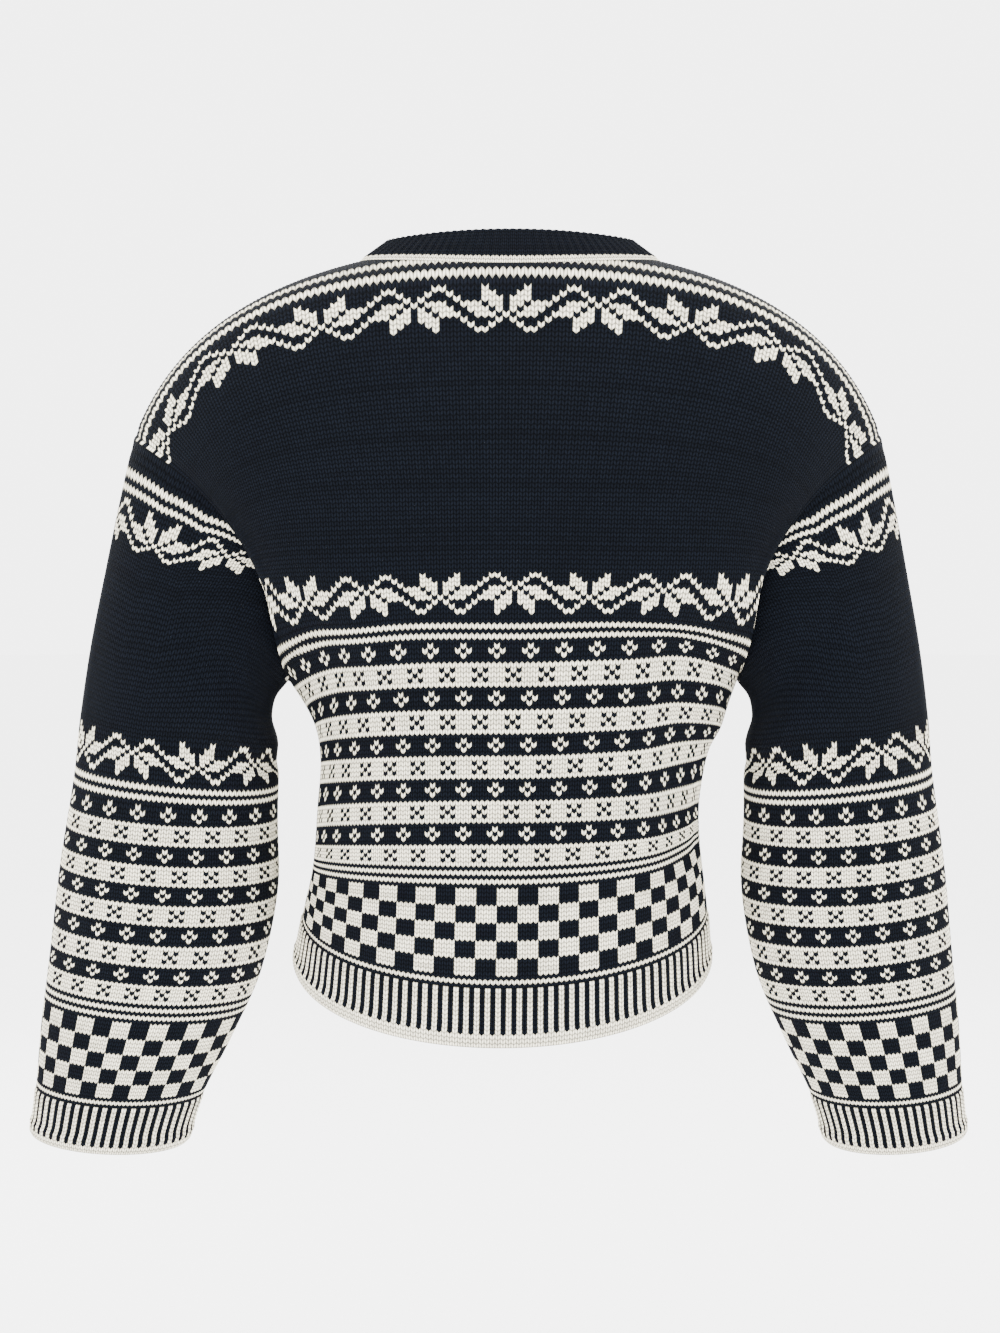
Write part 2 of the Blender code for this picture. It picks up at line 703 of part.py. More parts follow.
def dress_rib(piece, rows):
    """Raises the ribs of a rib piece and thins out its inner side."""
    for index, (_, on_rib, off_rib) in enumerate(rows):
        piece.relief[index, 0::2] = on_rib
        piece.relief[index, 1::2] = off_rib
    piece.inner_rows = [0, 2, len(rows) - 1]
    piece.inner_columns = every_fourth(piece.points.shape[1], piece.closed)


def spread(line, spacing, closed):
    """Evenly spaced places along a line of points, two for each rib."""
    lengths = np.linalg.norm(np.diff(line, axis=0), axis=1)
    run = np.concatenate([[0.0], np.cumsum(lengths)])
    count = 2 * round(run[-1] / spacing)
    steps = count if closed else count + 1
    return [float(np.interp(run[-1] * index / count, run, np.arange(len(run)))) for index in range(steps)]


def seat_rib(piece, panel, places):
    """Puts the top row of a rib just under the lower edge of its panel."""
    rows = np.concatenate([panel.points[0], panel.points[0][:1]]) if panel.closed else panel.points[0]
    turns = np.concatenate([panel.normals[0], panel.normals[0][:1]]) if panel.closed else panel.normals[0]
    for column, place in enumerate(places):
        point = between(rows, place)
        down = piece.points[-2, column] - point
        piece.points[-1, column] = point + down / np.linalg.norm(down) * SEAM_GAP
        piece.normals[-1, column] = between(turns, place)
    piece.normals[-1] /= np.linalg.norm(piece.normals[-1], axis=1, keepdims=True)


def hem_rib(name, panel, point_at, shares, flip):
    """The striped rib under a panel, with the panel's places that its columns hang from."""
    places = spread(panel.points[0], HEM_RIB, False)
    rows = rib_rows(RISE["rib top"])
    at = np.interp(places, np.arange(len(shares)), shares)
    grid = [[point_at(share, up) for share in at] for up, _, _ in rows]
    piece = Piece(name, grid, CREAM_YARN, flip=flip)
    dress_rib(piece, rows)
    return piece, panel, places


def hem_ribs(panels):
    """The three rib pieces of the hem, sewn at the sides and seated under the panels."""
    left, right = Body("back", "left"), Body("back", "right")
    shares = column_shares(left, 0.0)

    def back_point(share, up):
        return (left if share >= 0 else right).point(abs(share), up)

    both = [-share for share in shares[:0:-1]] + shares
    made = [hem_rib("hem_rib_back", panels["back"], back_point, both, True)]
    for side in ("left", "right"):
        body = Body("front", side)
        shares = column_shares(body, band_share(body))
        made.append(hem_rib(f"hem_rib_{side}", panels[f"front_{side}"], body.point, shares, side == "right"))
        rib = made[-1][0]
        rib.points[:, 0, 0] = math.copysign(BAND_EDGE, rib.points[0, 1, 0])
    sew([(made[0][0], "first"), (made[0][0], "last"), (made[1][0], "last"), (made[2][0], "last")])
    for piece, panel, places in made:
        seat_rib(piece, panel, places)
    return [piece for piece, _, _ in made]


def cuff(sleeve_part):
    """The striped rib below a sleeve."""
    side = sleeve_part.name.removeprefix("sleeve_")
    sleeve = Sleeve(side)
    angles = sleeve_angles(Body("back", side), Body("front", side)) + [360.0]
    places = spread(np.vstack([sleeve_part.points[0], sleeve_part.points[0][:1]]), CUFF_RIB, True)
    height = abs(RINGS[-1].outer_z - RINGS[CUFF_RING].outer_z)
    rows = rib_rows(height)
    at = np.interp(places, np.arange(len(angles)), angles)
    grid = [[sleeve.point(angle, len(RINGS) - 1 - up / height) for angle in at] for up, _, _ in rows]
    piece = Piece(f"cuff_{side}", grid, CREAM_YARN, closed=True, flip=side == "right")
    dress_rib(piece, rows)
    seat_rib(piece, sleeve_part, places)
    return piece


def neckband_top(point):
    """The point of the neckband's top edge above a point of the neck opening."""
    x, y = point[0], point[1]
    depth = NECK_BACK if y >= 0 else NECK_FRONT
    length = math.hypot(x / NECK_HALF_WIDTH, y / depth)
    cosine, sine = x / NECK_HALF_WIDTH / length, y / depth / length
    end = NECKBAND_TOP_Z["back"] if y >= 0 else NECKBAND_TOP_Z["front"]
    top_depth = NECKBAND_TOP_BACK if y >= 0 else NECKBAND_TOP_FRONT
    height = NECKBAND_TOP_Z["side"] + (end - NECKBAND_TOP_Z["side"]) * sine**2
    return np.array([NECKBAND_TOP_HALF_WIDTH * cosine, top_depth * sine, height])


def neck_edge(panel):
    """The top edge of a panel along the neck opening, each point with its outward direction."""
    line = zip(panel.points[-1], panel.normals[-1], strict=True)
    return [np.array([point, turn]) for point, turn in line if abs(point[0]) < NECK_HALF_WIDTH + CORNER_REACH]


def neckline(panels):
    """The neck opening, from the left band round the back to the right band."""
    left, right = neck_edge(panels["front_left"]), neck_edge(panels["front_right"])
    across = neck_edge(panels["back"])
    return np.array(left + across[::-1] + right[::-1])


def neckband(panels):
    """The ribbed band that stands on the neck opening."""
    line = neckline(panels)
    places = spread(line[:, 0], NECKBAND_RIB, False)
    base, turns = np.array([between(line, place) for place in places]).transpose(1, 0, 2)
    top = np.array([neckband_top(point) for point in base])
    rise = top - base
    base = base + rise / np.linalg.norm(rise, axis=1, keepdims=True) * SEAM_GAP
    piece = Piece("neckband", [base, top], DARK_YARN)
    piece.normals[0] = turns / np.linalg.norm(turns, axis=1, keepdims=True)
    piece.points[:, 0, 0] = BAND_EDGE
    piece.points[:, -1, 0] = -BAND_EDGE
    piece.relief[:, 0::2] = NECKBAND_RELIEF
    columns = piece.points.shape[1]
    piece.inner_columns = every_fourth(columns, False)
    return piece


def band_path():
    """Centre-front points from the hem to the top of the neckband."""
    body = Body("front", "left")
    rises = row_rises(0.0, RISE["rib top"], 3)[:-1] + crowded(PANEL_ROWS, body.neck_rise(0.0))
    path = [body.point(0.0, rise) for rise in rises]
    return np.array([*path, neckband_top(path[-1])])


def button_band(name, path, depth, columns):
    """A straight band down the centre front, moved in by a depth, with a rib for two columns."""
    xs = [-BAND_HALF_WIDTH + 2 * BAND_HALF_WIDTH * index / columns for index in range(columns + 1)]
    grid = [[np.array([x, point[1], point[2]]) for x in xs] for point in path]
    piece = Piece(name, grid, DARK_YARN)
    piece.points = piece.points - piece.normals * depth
    piece.relief[:, 1:-1:2] = BAND_RELIEF if depth == 0.0 else 0.0
    piece.inner_columns = [0, columns // 2, columns]
    return piece


def button(index, centre, normal):
    """A round button with a raised rim, seated on the band."""
    side = np.array([1.0, 0.0, 0.0])
    up = np.cross(normal, side)
    up /= np.linalg.norm(up)
    points, faces, rings = [], [], []
    for radius, height in BUTTON_PROFILE:
        lift = centre + normal * height * BUTTON_HEIGHT
        if radius == 0.0:
            rings.append([len(points)])
            points.append(lift)
            continue
        ring = []
        for step in range(BUTTON_SIDES):
            turn = 2 * math.pi * step / BUTTON_SIDES
            ring.append(len(points))
            points.append(lift + (side * math.cos(turn) + up * math.sin(turn)) * radius * BUTTON_RADIUS)
        rings.append(ring)
    for low, high in zip(rings, rings[1:], strict=False):
        for step in range(BUTTON_SIDES):
            after = (step + 1) % BUTTON_SIDES
            if len(low) == 1:
                faces.append((low[0], high[after], high[step]))
            elif len(high) == 1:
                faces.append((low[step], low[after], high[0]))
            else:
                faces.append((low[step], low[after], high[after], high[step]))
    return make_object(f"button_{index}", points, faces, HORN)


def buttons(path):
    """Buttons evenly spaced down the outer band."""
    lengths = np.linalg.norm(np.diff(path, axis=0), axis=1)
    run = np.concatenate([[0.0], np.cumsum(lengths)])
    first, last = run[-1] - BUTTON_TOP_MARGIN, BUTTON_HEM_MARGIN
    for index in range(BUTTON_COUNT):
        at = first + (last - first) * index / (BUTTON_COUNT - 1)
        place = np.interp(at, run, np.arange(len(run)))
        ahead = between(path, np.interp(at + BUTTON_RADIUS, run, np.arange(len(run))))
        behind = between(path, np.interp(at - BUTTON_RADIUS, run, np.arange(len(run))))
        direction = ahead - behind
        normal = np.cross(np.array([1.0, 0.0, 0.0]), direction)
        normal /= np.linalg.norm(normal)
        seat = between(path, place)
        high = max(np.dot(point - seat, normal) for point in (ahead, behind, seat))
        button(index + 1, seat + normal * (high + BAND_RELIEF + SEAM_GAP), normal)


def main():
    """Clears the scene and builds every piece."""
    for found in list(bpy.data.objects):
        bpy.data.objects.remove(found, do_unlink=True)
    panels = {"back": back_panel()}
    for side in ("left", "right"):
        panels[f"front_{side}"] = front_panel(side)
        panels[f"sleeve_{side}"] = sleeve_piece(side)
    sew_panels(panels)
    cuffs = [cuff(panels[f"sleeve_{side}"]) for side in ("left", "right")]
    for piece in [*panels.values(), *hem_ribs(panels), *cuffs, neckband(panels)]:
        build_wall(piece)
    path = band_path()
    build_wall(button_band("button_band_right", path, 0.0, 2 * BAND_RIBS))
    build_wall(button_band("button_band_left", path, WALL + SEAM_GAP, 2))
    buttons(path)


def sew_panels(panels):
    """Joins the side seams, shoulders and armholes."""
    back = panels["back"]
    seams = [(back, name) for name in ("first", "last", "left shoulder", "right shoulder")]
    for side in ("left", "right"):
        front = panels[f"front_{side}"]
        seams += [(front, "last"), (front, f"{side} shoulder"), (panels[f"sleeve_{side}"], "top")]
    sew(seams)


if __name__ == "__main__":
    main()
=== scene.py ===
"""A cropped two-colour knitted cardigan, as worn, with every stitch of its pattern.

Lengths are in metres, +Z is up and the front faces -Y. Each cloth piece is a thin wall on the
form of its solid. Its outer side has four columns of points for each stitch and one row for each
knitted row, shifted so that the faces follow the two legs of a stitch.
"""

import logging
import math
from dataclasses import dataclass
from enum import Enum
from typing import Callable, NamedTuple

import bpy
import numpy as np
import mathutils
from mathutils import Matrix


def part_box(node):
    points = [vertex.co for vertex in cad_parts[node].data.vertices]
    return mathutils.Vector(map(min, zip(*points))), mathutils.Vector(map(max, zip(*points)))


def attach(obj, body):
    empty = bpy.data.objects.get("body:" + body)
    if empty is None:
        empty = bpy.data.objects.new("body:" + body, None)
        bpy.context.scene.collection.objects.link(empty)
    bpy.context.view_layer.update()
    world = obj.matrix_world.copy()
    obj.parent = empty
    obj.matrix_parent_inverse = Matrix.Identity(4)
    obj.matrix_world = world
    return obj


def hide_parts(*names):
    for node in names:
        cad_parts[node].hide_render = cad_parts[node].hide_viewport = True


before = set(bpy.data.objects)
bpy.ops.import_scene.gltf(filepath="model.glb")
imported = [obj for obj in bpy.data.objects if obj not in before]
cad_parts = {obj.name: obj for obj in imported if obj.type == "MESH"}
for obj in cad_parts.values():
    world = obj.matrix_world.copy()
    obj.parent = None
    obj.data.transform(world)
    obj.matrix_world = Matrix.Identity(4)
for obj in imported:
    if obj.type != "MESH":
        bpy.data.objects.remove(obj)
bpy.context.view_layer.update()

log = logging.getLogger("cardigan")
Socket = bpy.types.NodeSocket

# Form of the garment
LEAN = 0.013
WALL = 0.0025
NECK_HALF_WIDTH = 0.113
NECK_BACK = 0.058
NECK_FRONT = 0.092
BAND_EDGE = 0.0153

# Knitting
STEPS = 4
BODY_STITCHES = 56
LEG_SLANT = 0.56
LEG_HEIGHT = 0.00042
SEAM_DIP = 0.0009
SEAM_STITCHES = 1.4
SEAM_GAP = 0.0003
FOOT_ROWS = 2

# Ribs
RIB_RELIEF = 0.0010
RIB_EDGE_RELIEF = 0.0016
RIB_START_EARLY = 0.6
RIB_START_ROWS = 1.2
RIB_EDGE_END_ROWS = 1.5
STRIPE_SHARPNESS = 2.2
STRIPE_LEG_SHARE = 0.7
BAND_SHARPNESS = 2.0

# How finely the surfaces are measured
TABLE_RISES = 161
TABLE_SHARES = 97
ROUND_STEPS = 241
SEARCH_STEPS = 30
NORMAL_STEP = 0.004

# What counts as nothing, as facing up, and as a sharp edge in degrees
TINY = 1e-6
FACING_UP = 0.9
SHARP_ANGLE = 70.0

# Where creases and folds fade out
CREASE_FADE_SHARE = 0.10
CREASE_FADE_RISE = 0.05
FOLD_FADE_RINGS = 1.2

# Relief of the yarn in a stitch, how widely painted shade darkens the gaps between its legs and rows, and
# the range that a noise mostly has
PLY_SLANT = 0.35
LEG_ROUNDNESS = 0.55
ROW_ROUNDNESS = 0.30
PLY_ROUNDNESS = 0.10
LEG_GAP_SHADE_POWER = 0.9
ROW_GAP_SHADE_POWER = 0.8
NOISE_SPAN = (0.3, 0.7)

# Types that several places share
Span = tuple[float, float]
Vector = tuple[float, float, float]
Colour = tuple[float, float, float, float]
Pattern = Callable[[np.ndarray, np.ndarray], np.ndarray]


class Face(Enum):
    """The two faces of the body."""

    BACK = "back"
    FRONT = "front"


class Side(Enum):
    """The wearer's two sides."""

    LEFT = "left"
    RIGHT = "right"


RowHeights = Callable[[np.ndarray, np.ndarray, Side], np.ndarray]


class Half(NamedTuple):
    """One half of a level: its centre point, how straight it runs, and the point it turns round."""

    centre_y: float
    centre_z: float
    reach: float
    turn: float
    turn_y: float
    fall: float


class Seam(NamedTuple):
    """The side seam at a level."""

    left_x: float
    right_x: float
    left_z: float
    right_z: float


class Crease(NamedTuple):
    """A trough or ridge of the body, seen from its face."""

    face: Face
    x0: float
    z0: float
    x1: float
    z1: float
    depth: float
    width: float


class Ring(NamedTuple):
    """A ring of a sleeve, from its outer to its inner line."""

    outer_x: float
    outer_z: float
    inner_x: float
    inner_z: float
    depth: float
    centre_y: float
    sag: float
    bow: float


class Fold(NamedTuple):
    """A fold across a sleeve."""

    ring: float
    angle: float
    depth: float
    height: float
    spread: float


class HalfPanel(NamedTuple):
    """The points of one half of a panel, their outward directions and each column's last row."""

    points: np.ndarray
    normals: np.ndarray
    limits: np.ndarray


LOWER_LEVELS = ("hem", "rib top", "check top", "waist low", "waist", "waist high", "bust", "underarm")
UPPER_LEVELS = ("blade low", "blade", "yoke low", "yoke", "yoke top", "ridge")
LEVELS = LOWER_LEVELS + UPPER_LEVELS
BACK_LEVELS = {
    "hem": Half(0.112, -0.568, 0.088, 1.00, 0.063, 0.55),
    "rib top": Half(0.110, -0.525, 0.086, 1.00, 0.062, 0.55),
    "check top": Half(0.100, -0.452, 0.082, 1.00, 0.058, 0.55),
    "waist low": Half(0.094, -0.391, 0.080, 1.00, 0.056, 0.55),
    "waist": Half(0.094, -0.354, 0.080, 1.00, 0.057, 0.55),
    "waist high": Half(0.098, -0.311, 0.085, 1.03, 0.062, 0.50),
    "bust": Half(0.106, -0.2656, 0.095, 1.04, 0.066, 0.42),
    "underarm": Half(0.111, -0.235, 0.100, 1.03, 0.080, 0.32),
    "blade low": Half(0.113, -0.203, 0.100, 1.17, 0.100, 0.48),
    "blade": Half(0.114, -0.162, 0.100, 1.13, 0.102, 0.64),
    "yoke low": Half(0.104, -0.101, 0.100, 1.02, 0.096, 0.70),
    "yoke": Half(0.088, -0.0545, 0.100, 0.90, 0.084, 0.96),
    "yoke top": Half(0.064, -0.008, 0.098, 0.86, 0.048, 0.92),
    "ridge": Half(0.000, 0.012, 0.090, 0.843, 0.000, 0.832),
}
FRONT_LEVELS = {
    "hem": Half(-0.108, -0.514, 0.088, 1.00, -0.061, 0.55),
    "rib top": Half(-0.108, -0.474, 0.086, 1.00, -0.061, 0.55),
    "check top": Half(-0.106, -0.412, 0.084, 1.00, -0.061, 0.55),
    "waist low": Half(-0.110, -0.360, 0.084, 1.00, -0.063, 0.55),
    "waist": Half(-0.116, -0.328, 0.086, 1.00, -0.066, 0.55),
    "waist high": Half(-0.124, -0.296, 0.090, 1.02, -0.070, 0.50),
    "bust": Half(-0.131, -0.258, 0.098, 1.03, -0.074, 0.42),
    "underarm": Half(-0.133, -0.228, 0.100, 1.02, -0.084, 0.32),
    "blade low": Half(-0.131, -0.198, 0.100, 1.19, -0.096, 0.50),
    "blade": Half(-0.124, -0.160, 0.100, 1.07, -0.096, 0.64),
    "yoke low": Half(-0.110, -0.114, 0.100, 0.99, -0.090, 0.70),
    "yoke": Half(-0.094, -0.074, 0.100, 0.89, -0.078, 0.96),
    "yoke top": Half(-0.068, -0.028, 0.098, 0.86, -0.046, 0.92),
    "ridge": Half(0.000, 0.012, 0.090, 0.843, 0.000, 0.832),
}
SEAMS = {
    "hem": Seam(0.1560, 0.1580, -0.5210, -0.5210),
    "rib top": Seam(0.1500, 0.1550, -0.4890, -0.4850),
    "check top": Seam(0.1420, 0.1480, -0.4500, -0.4250),
    "waist low": Seam(0.1390, 0.1490, -0.4060, -0.3900),
    "waist": Seam(0.1370, 0.1540, -0.3740, -0.3640),
    "waist high": Seam(0.1400, 0.1620, -0.3500, -0.3480),
    "bust": Seam(0.1500, 0.1680, -0.3290, -0.3280),
    "underarm": Seam(0.1620, 0.1740, -0.3110, -0.3110),
}
ARMHOLE_ANGLES = {
    "underarm": 180.0,
    "blade low": 146.0,
    "blade": 112.0,
    "yoke low": 76.0,
    "yoke": 48.0,
    "yoke top": 21.0,
    "ridge": 0.0,
}
CREASES = (
    Crease(Face.BACK, -0.126, -0.290, -0.134, -0.430, -0.0055, 0.022),
    Crease(Face.BACK, -0.092, -0.300, -0.102, -0.420, 0.0025, 0.024),
    Crease(Face.BACK, 0.150, -0.245, 0.128, -0.310, -0.0050, 0.020),
    Crease(Face.BACK, 0.110, -0.235, 0.090, -0.290, 0.0025, 0.024),
    Crease(Face.BACK, 0.060, -0.405, -0.070, -0.418, 0.0022, 0.020),
    Crease(Face.FRONT, 0.150, -0.200, 0.110, -0.290, -0.0060, 0.021),
    Crease(Face.FRONT, -0.150, -0.210, -0.116, -0.300, -0.0060, 0.020),
    Crease(Face.FRONT, 0.100, -0.350, 0.116, -0.440, -0.0045, 0.020),
    Crease(Face.FRONT, -0.090, -0.340, -0.112, -0.420, -0.0045, 0.020),
)
RINGS = (
    Ring(0.2788, -0.1310, 0.1680, -0.3110, 0.0530, 0.000, 0.000, 0.030),
    Ring(0.2890, -0.1780, 0.1775, -0.3230, 0.0560, 0.000, 0.000, 0.026),
    Ring(0.2980, -0.2220, 0.1805, -0.3370, 0.0600, -0.001, 0.002, 0.018),
    Ring(0.3100, -0.2830, 0.1785, -0.3540, 0.0630, -0.003, 0.004, 0.010),
    Ring(0.3180, -0.3360, 0.1768, -0.3740, 0.0620, -0.005, 0.005, 0.005),
    Ring(0.3230, -0.3780, 0.1755, -0.3930, 0.0600, -0.008, 0.006, 0.002),
    Ring(0.3345, -0.4520, 0.1755, -0.4620, 0.0570, -0.013, 0.006, 0.000),
    Ring(0.3430, -0.5200, 0.1880, -0.5310, 0.0520, -0.018, 0.006, 0.000),
    Ring(0.3500, -0.5750, 0.2110, -0.5850, 0.0480, -0.022, 0.006, 0.000),
    Ring(0.3545, -0.6240, 0.2330, -0.6300, 0.0440, -0.026, 0.006, 0.000),
    Ring(0.3590, -0.6600, 0.2450, -0.6670, 0.0420, -0.029, 0.006, 0.000),
)
CUFF_RING = 9.0
LAST_RING = 10.0
INNER_SHIFT = {Side.LEFT: -0.006, Side.RIGHT: 0.006}
FOLDS = (
    Fold(2.2, 110.0, -0.0045, 0.42, 40.0),
    Fold(3.1, 130.0, 0.0035, 0.45, 45.0),
    Fold(4.0, 120.0, -0.0040, 0.42, 48.0),
    Fold(5.6, 140.0, -0.0030, 0.40, 60.0),
    Fold(2.4, -115.0, -0.0045, 0.42, 42.0),
    Fold(3.3, -130.0, 0.0035, 0.45, 45.0),
    Fold(5.2, -90.0, -0.0045, 0.42, 60.0),
    Fold(6.0, -95.0, 0.0030, 0.42, 60.0),
)

# Knitted rows of the body above the rib, with their height along the cloth
BODY_ROW_MARKS = (
    (0, 0.0378),
    (3, 0.0450),
    (23, 0.0929),
    (33, 0.1191),
    (43, 0.1471),
    (53, 0.1777),
    (63, 0.2046),
    (78, 0.2438),
    (92, 0.2852),
    (143, 0.4715),
    (152, 0.5018),
    (160, 0.5602),
)
# How much higher the rows of a side lie at its edge than at the centre line
EDGE_LIFTS = {
    Side.LEFT: (
        (0, 0.000),
        (20, -0.003),
        (35, -0.007),
        (45, 0.000),
        (55, 0.006),
        (65, 0.021),
        (75, 0.042),
        (83, 0.070),
        (92, 0.082),
        (115, 0.050),
        (143, 0.004),
        (160, 0.000),
    ),
    Side.RIGHT: (
        (0, 0.000),
        (20, -0.006),
        (35, -0.012),
        (45, 0.010),
        (55, 0.022),
        (65, 0.036),
        (75, 0.058),
        (83, 0.072),
        (92, 0.084),
        (115, 0.050),
        (143, 0.004),
        (160, 0.000),
    ),
}
RIB_ROWS = 13
EDGE_ROWS = 3

# Width of a stitch at the centre line for a height along the cloth
STITCH_WIDTHS = (
    (0.00, 0.00385),
    (0.09, 0.00375),
    (0.19, 0.00390),
    (0.25, 0.00405),
    (0.36, 0.00430),
    (0.47, 0.00500),
    (0.56, 0.00530),
)

# Knitted rows of a sleeve down from the armhole, with the ring they lie on at the outer line
SLEEVE_ROW_MARKS = (
    (0, 0.00),
    (3.5, 0.50),
    (5.5, 0.72),
    (11.5, 1.30),
    (23, 2.05),
    (38, 3.10),
    (52, 4.05),
    (62.5, 4.98),
    (67.5, 5.29),
    (77.5, 5.68),
    (87.5, 6.07),
    (97.5, 6.50),
    (107.5, 6.98),
    (112.5, 7.20),
    (120, 7.62),
    (143, 9.00),
)

# How many rings higher the rows lie round towards the inner line, by angle, and for which rows
SLIP_ANGLES = (
    (0, 0.0),
    (50, 0.0),
    (72, 0.16),
    (85, 0.46),
    (90, 0.58),
    (110, 1.25),
    (135, 2.2),
    (160, 3.1),
    (180, 3.4),
)
SLIP_ROWS = ((0, 1.0), (12, 1.4), (20, 1.3), (38, 0.7), (54, 0.15), (62, 0.0))

# Charts, from the top row down. A hash is cream yarn.
FLOWER = (".#.", "#.#", ".#.")
VINE = (
    "...#.....##...",
    "..##....#..#..",
    ".###...#....#.",
    ".##.###..###.#",
    ".#.###..###.#.",
    "#.###..###.##.",
    ".#....#...###.",
    "..#..#....##..",
    "...##.....#...",
)
VINE_HALF = 13
FLOWER_REPEAT = 6
BAND_ROWS = 5
CHECK_SIZE = 4
CHECK_ROWS = 20

# Cream rows that stand alone, up from the rib and down from the armhole
BODY_SINGLES = (1, 24, 26, 78, 80, 153, 155)
SLEEVE_SINGLES = (3, 5, 62, 64, 116, 118, 141)


def chart_mask(rows: tuple[str, ...]) -> np.ndarray:
    """Turns a chart into an array of 0 and 1, lowest row first."""
    return np.array([[float(mark == "#") for mark in row] for row in rows[::-1]])


def ease(value: np.ndarray) -> np.ndarray:
    """Gives a soft step from 0 to 1 as the value goes from 0 to 1."""
    value = np.clip(value, 0.0, 1.0)
    return value * value * (3.0 - 2.0 * value)


def unit(vectors: np.ndarray) -> np.ndarray:
    """Scales vectors to length one."""
    return vectors / np.maximum(np.linalg.norm(vectors, axis=-1, keepdims=True), 1e-12)


def read_table(table: tuple[tuple[float, float], ...], places: np.ndarray) -> np.ndarray:
    """Reads a table of places and values, straight between its entries."""
    return np.interp(places, *np.array(table, float).T)


def lengths_along(line: np.ndarray) -> np.ndarray:
    """The length of a line up to each of its points."""
    return np.concatenate([[0.0], np.cumsum(np.linalg.norm(np.diff(line, axis=0), axis=1))])


def points_along(line: np.ndarray, run: np.ndarray, places: np.ndarray) -> np.ndarray:
    """Points of a line at places along it, where its own points lie at the run."""
    return np.stack([np.interp(places, run, line[:, axis]) for axis in range(3)], axis=-1)


def flat_columns(values: np.ndarray) -> np.ndarray:
    """Lists the values of a grid column by column."""
    return values.transpose(1, 0, 2).reshape(-1, values.shape[-1])


class Curve:
    """A smooth curve through the values of a table, with its places in rising order."""

    def __init__(self, places: np.ndarray, values: np.ndarray, after: np.ndarray | None = None) -> None:
        """Works out the rate of change at each place.

        Args:
            places: Rising numbers.
            values: One row of values for each place.
            after: The rate at the last place, or None to leave it free.
        """
        self.places = np.asarray(places, float)
        self.values = np.asarray(values, float).reshape(len(self.places), -1)
        steps = np.diff(self.places)[:, None]
        rates = np.diff(self.values, axis=0) / steps
        middle = (rates[:-1] * steps[1:] + rates[1:] * steps[:-1]) / (steps[:-1] + steps[1:])
        last = rates[-1] if after is None else after
        self.rates = np.vstack([rates[:1], middle, last[None]])

    def __call__(self, where: np.ndarray) -> np.ndarray:
        """Reads the curve.

        Args:
            where: Places of any shape.

        Returns:
            The values there, with one more axis.
        """
        where = np.asarray(where, float)
        index = np.clip(np.searchsorted(self.places, where) - 1, 0, len(self.places) - 2)
        step = (self.places[index + 1] - self.places[index])[..., None]
        t = (where - self.places[index])[..., None] / step
        start, end = self.values[index], self.values[index + 1]
        leave, arrive = self.rates[index] * step, self.rates[index + 1] * step
        return (
            start * (2 * t**3 - 3 * t**2 + 1)
            + leave * (t**3 - 2 * t**2 + t)
            + end * (3 * t**2 - 2 * t**3)
            + arrive * (t**3 - t**2)
        )


def ring_points(ring: np.ndarray, angle: np.ndarray) -> np.ndarray:
    """Finds points of sleeve rings.

    Args:
        ring: The eight values of a ring on the last axis.
        angle: Degrees, 0 at the outer line, 90 at the back and 180 inside.

    Returns:
        The points.
    """
    outer_x, outer_z, inner_x, inner_z, depth, centre_y, sag, bow = np.moveaxis(ring, -1, 0)
    turn = np.radians(angle)
    reach_x, reach_z = (outer_x - inner_x) / 2, (outer_z - inner_z) / 2
    length = np.hypot(reach_x, reach_z)
    bulge = bow * np.sin(turn) ** 2 / length
    x = (outer_x + inner_x) / 2 + reach_x * np.cos(turn) - reach_z * bulge
    z = (outer_z + inner_z) / 2 + reach_z * np.cos(turn) + reach_x * bulge
    y = centre_y + depth * np.sin(turn)
    return np.stack([x, y, z - sag * np.sin(turn)], axis=-1)


def mirrored(points: np.ndarray, side: Side) -> np.ndarray:
    """Puts points worked out for the left on the side they belong to."""
    return points if side is Side.LEFT else points * np.array([-1.0, 1.0, 1.0])


def side_ring(index: int, side: Side) -> np.ndarray:
    """The values of a ring on one side."""
    ring = RINGS[index]
    return np.array(ring._replace(inner_x=ring.inner_x + INNER_SHIFT[side]))


